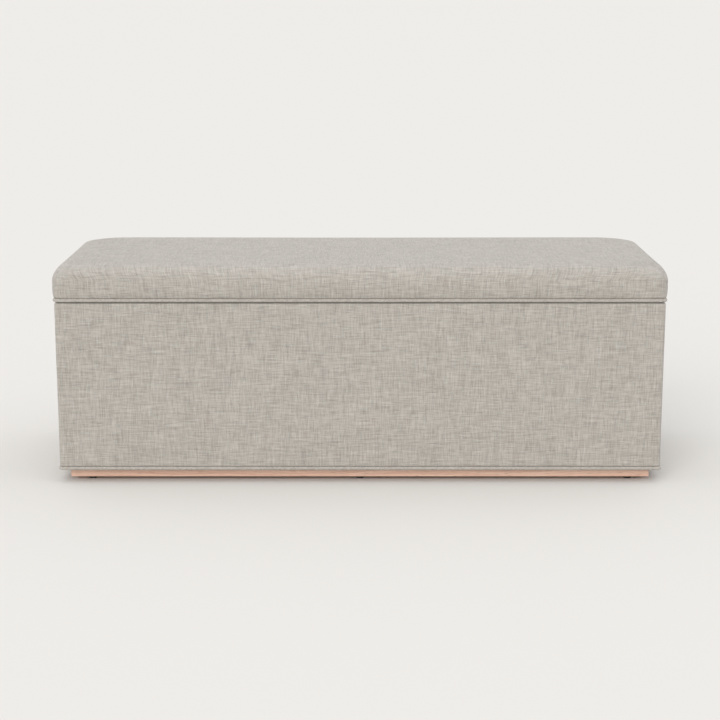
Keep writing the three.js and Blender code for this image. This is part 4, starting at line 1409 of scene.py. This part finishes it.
# %% Screws in the hinges
LEAF_TOP = 1.125 * MM  # a leaf's open face, past the cloth that it lies on
LEAF_SCREWS = [(-28, 7), (0, 13), (28, 7)]  # from the leaf's middle and from its front edge, in mm

hinge_places = {"base": [], "lid": []}
for column in ("left", "middle", "right"):
    low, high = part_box(f"{column}_hinge_base_leaf")
    for aside, reach in LEAF_SCREWS:
        spot = ((low.x + high.x) / 2 + aside * MM, low.y + reach * MM)
        hinge_places["base"].append(((*spot, body_top + LEAF_TOP), (0, 0, 1)))
        hinge_places["lid"].append(((*spot, lid_cloth_low.z - LEAF_TOP), (0, 0, -1)))
for body, places in hinge_places.items():
    make_screws(f"hinge_{body}_screws", body, places, 3.0 * MM, 0.12 * MM)

# %% Screws in the struts' brackets
BRACKET = 2.25 * MM  # steel
PLATE_GAP = 0.3 * MM  # between the box's inner face and the plate
PLATE_REACH = 12.5 * MM  # from the plate's middle to its screws, both ways
FOOT_REACH = 5 * MM  # from the foot's edges to its screws
SUNK = 0.3 * MM

plate_places, foot_places = [], []
for side, sign in (("left", -1), ("right", 1)):
    plate_x = sign * (half_w - WALL - PLATE_GAP - BRACKET + SUNK)
    for dy in (-PLATE_REACH, PLATE_REACH):
        for dz in (-PLATE_REACH, PLATE_REACH):
            plate_places.append(((plate_x, plates[side].y + dy, plates[side].z + dz), (-sign, 0, 0)))
    foot_low, foot_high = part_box(f"{side}_strut_lid_bracket")
    foot_x = foot_low.x + FOOT_REACH if sign > 0 else foot_high.x - FOOT_REACH
    for y in (foot_low.y + FOOT_REACH, foot_high.y - FOOT_REACH):
        foot_places.append(((foot_x, y, foot_high.z - BRACKET + SUNK), (0, 0, -1)))
make_screws("bracket_plate_screws", "base", plate_places, 3.2 * MM, 1.5 * MM)
make_screws("bracket_foot_screws", "lid", foot_places, 3.2 * MM, 1.5 * MM)

# %% Screws in the plinth
rail_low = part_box("front_plinth_rail")[0]
rail_middle_y = rail_low.y + RAIL_WIDTH / 2
rail_places = []
for x in (-0.5, -0.3, -0.1, 0.1, 0.3, 0.5):
    for y in (rail_middle_y, -rail_middle_y):
        rail_places.append(((x, y, rail_low.z - 0.02 * MM), (0, 0, -1)))
make_screws("plinth_screws", "base", rail_places, 4.2 * MM, 0.4 * MM)


# %% The stitch and staple tree
def make_bar_tree():
    tree, given, result = node_tree("short bars along a line", {
        "Spacing": ("Float", 5 * MM), "Length": ("Float", 3.5 * MM), "Thickness": ("Float", 0.7 * MM),
        "Tilt": ("Float", 0.1), "Seed": ("Int", 5), "Finish": ("Material", None)})
    curve = geo(tree, "GeometryNodeMeshToCurve", {"Mesh": given["Geometry"]})
    even = geo(tree, "GeometryNodeResampleCurve", {"Curve": curve, "Length": given["Spacing"]}, mode="LENGTH")
    ball = geo(tree, "GeometryNodeMeshUVSphere", {"Segments": 6, "Rings": 5, "Radius": 0.5})
    size = combine(tree, given["Length"], given["Thickness"], given["Thickness"])
    bar = geo(tree, "GeometryNodeTransform", {"Geometry": ball, "Scale": size})
    along = geo(tree, "GeometryNodeInputTangent", {})
    real = scattered(tree, even, bar, along, "X", given["Tilt"] * -1.0, given["Tilt"], given["Seed"])
    smooth = geo(tree, "GeometryNodeSetShadeSmooth", {"Geometry": real})
    feed(result, geo(tree, "GeometryNodeSetMaterial", {"Geometry": smooth, "Material": given["Finish"]}))
    return tree


bar_tree = make_bar_tree()
CORNER_GAP = 6 * MM  # the bars stop this far from a corner


def bars_round(name, body, half_x, half_y, height, values):
    """Bars along the four sides of a rectangle, each side on its own so that none bends round a corner."""
    ends = []
    for x0, y0, x1, y1 in ((-1, -1, 1, -1), (1, -1, 1, 1), (1, 1, -1, 1), (-1, 1, -1, -1)):
        shift = Vector((x1 - x0, y1 - y0, 0)).normalized() * CORNER_GAP
        ends.append(Vector((x0 * half_x, y0 * half_y, height)) + shift)
        ends.append(Vector((x1 * half_x, y1 * half_y, height)) - shift)
    mesh = bpy.data.meshes.new(name)
    mesh.from_pydata(ends, [(0, 1), (2, 3), (4, 5), (6, 7)], [])
    bars = new_object(name, mesh)
    grow(bars, bar_tree, values)
    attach(bars, body)
    print(name, len(bars.data.polygons), "faces")


# %% Stitches and staples
flap_x, flap_y = half_w - WALL, half_d - WALL
bars_round("hem_stitches", "base", flap_x - 0.05 * MM, flap_y - 0.05 * MM,
           body_top - RETURN + 5 * MM,
           {"Spacing": 5 * MM, "Length": 3.6 * MM, "Thickness": 0.75 * MM, "Tilt": 0.06, "Finish": thread})
bars_round("dust_cover_staples", "base", dust_high.x - 7 * MM, dust_high.y - 7 * MM,
           dust_low.z - 0.05 * MM,
           {"Spacing": 34 * MM, "Length": 10 * MM, "Thickness": 0.8 * MM, "Tilt": 0.16, "Finish": steel})
bars_round("lid_lining_stitches", "lid", lid_cloth_high.x - 3 * MM, lid_cloth_high.y - 3 * MM,
           lid_cloth_low.z - 0.1 * MM,
           {"Spacing": 7 * MM, "Length": 4.5 * MM, "Thickness": 0.55 * MM, "Tilt": 0.05, "Finish": thread})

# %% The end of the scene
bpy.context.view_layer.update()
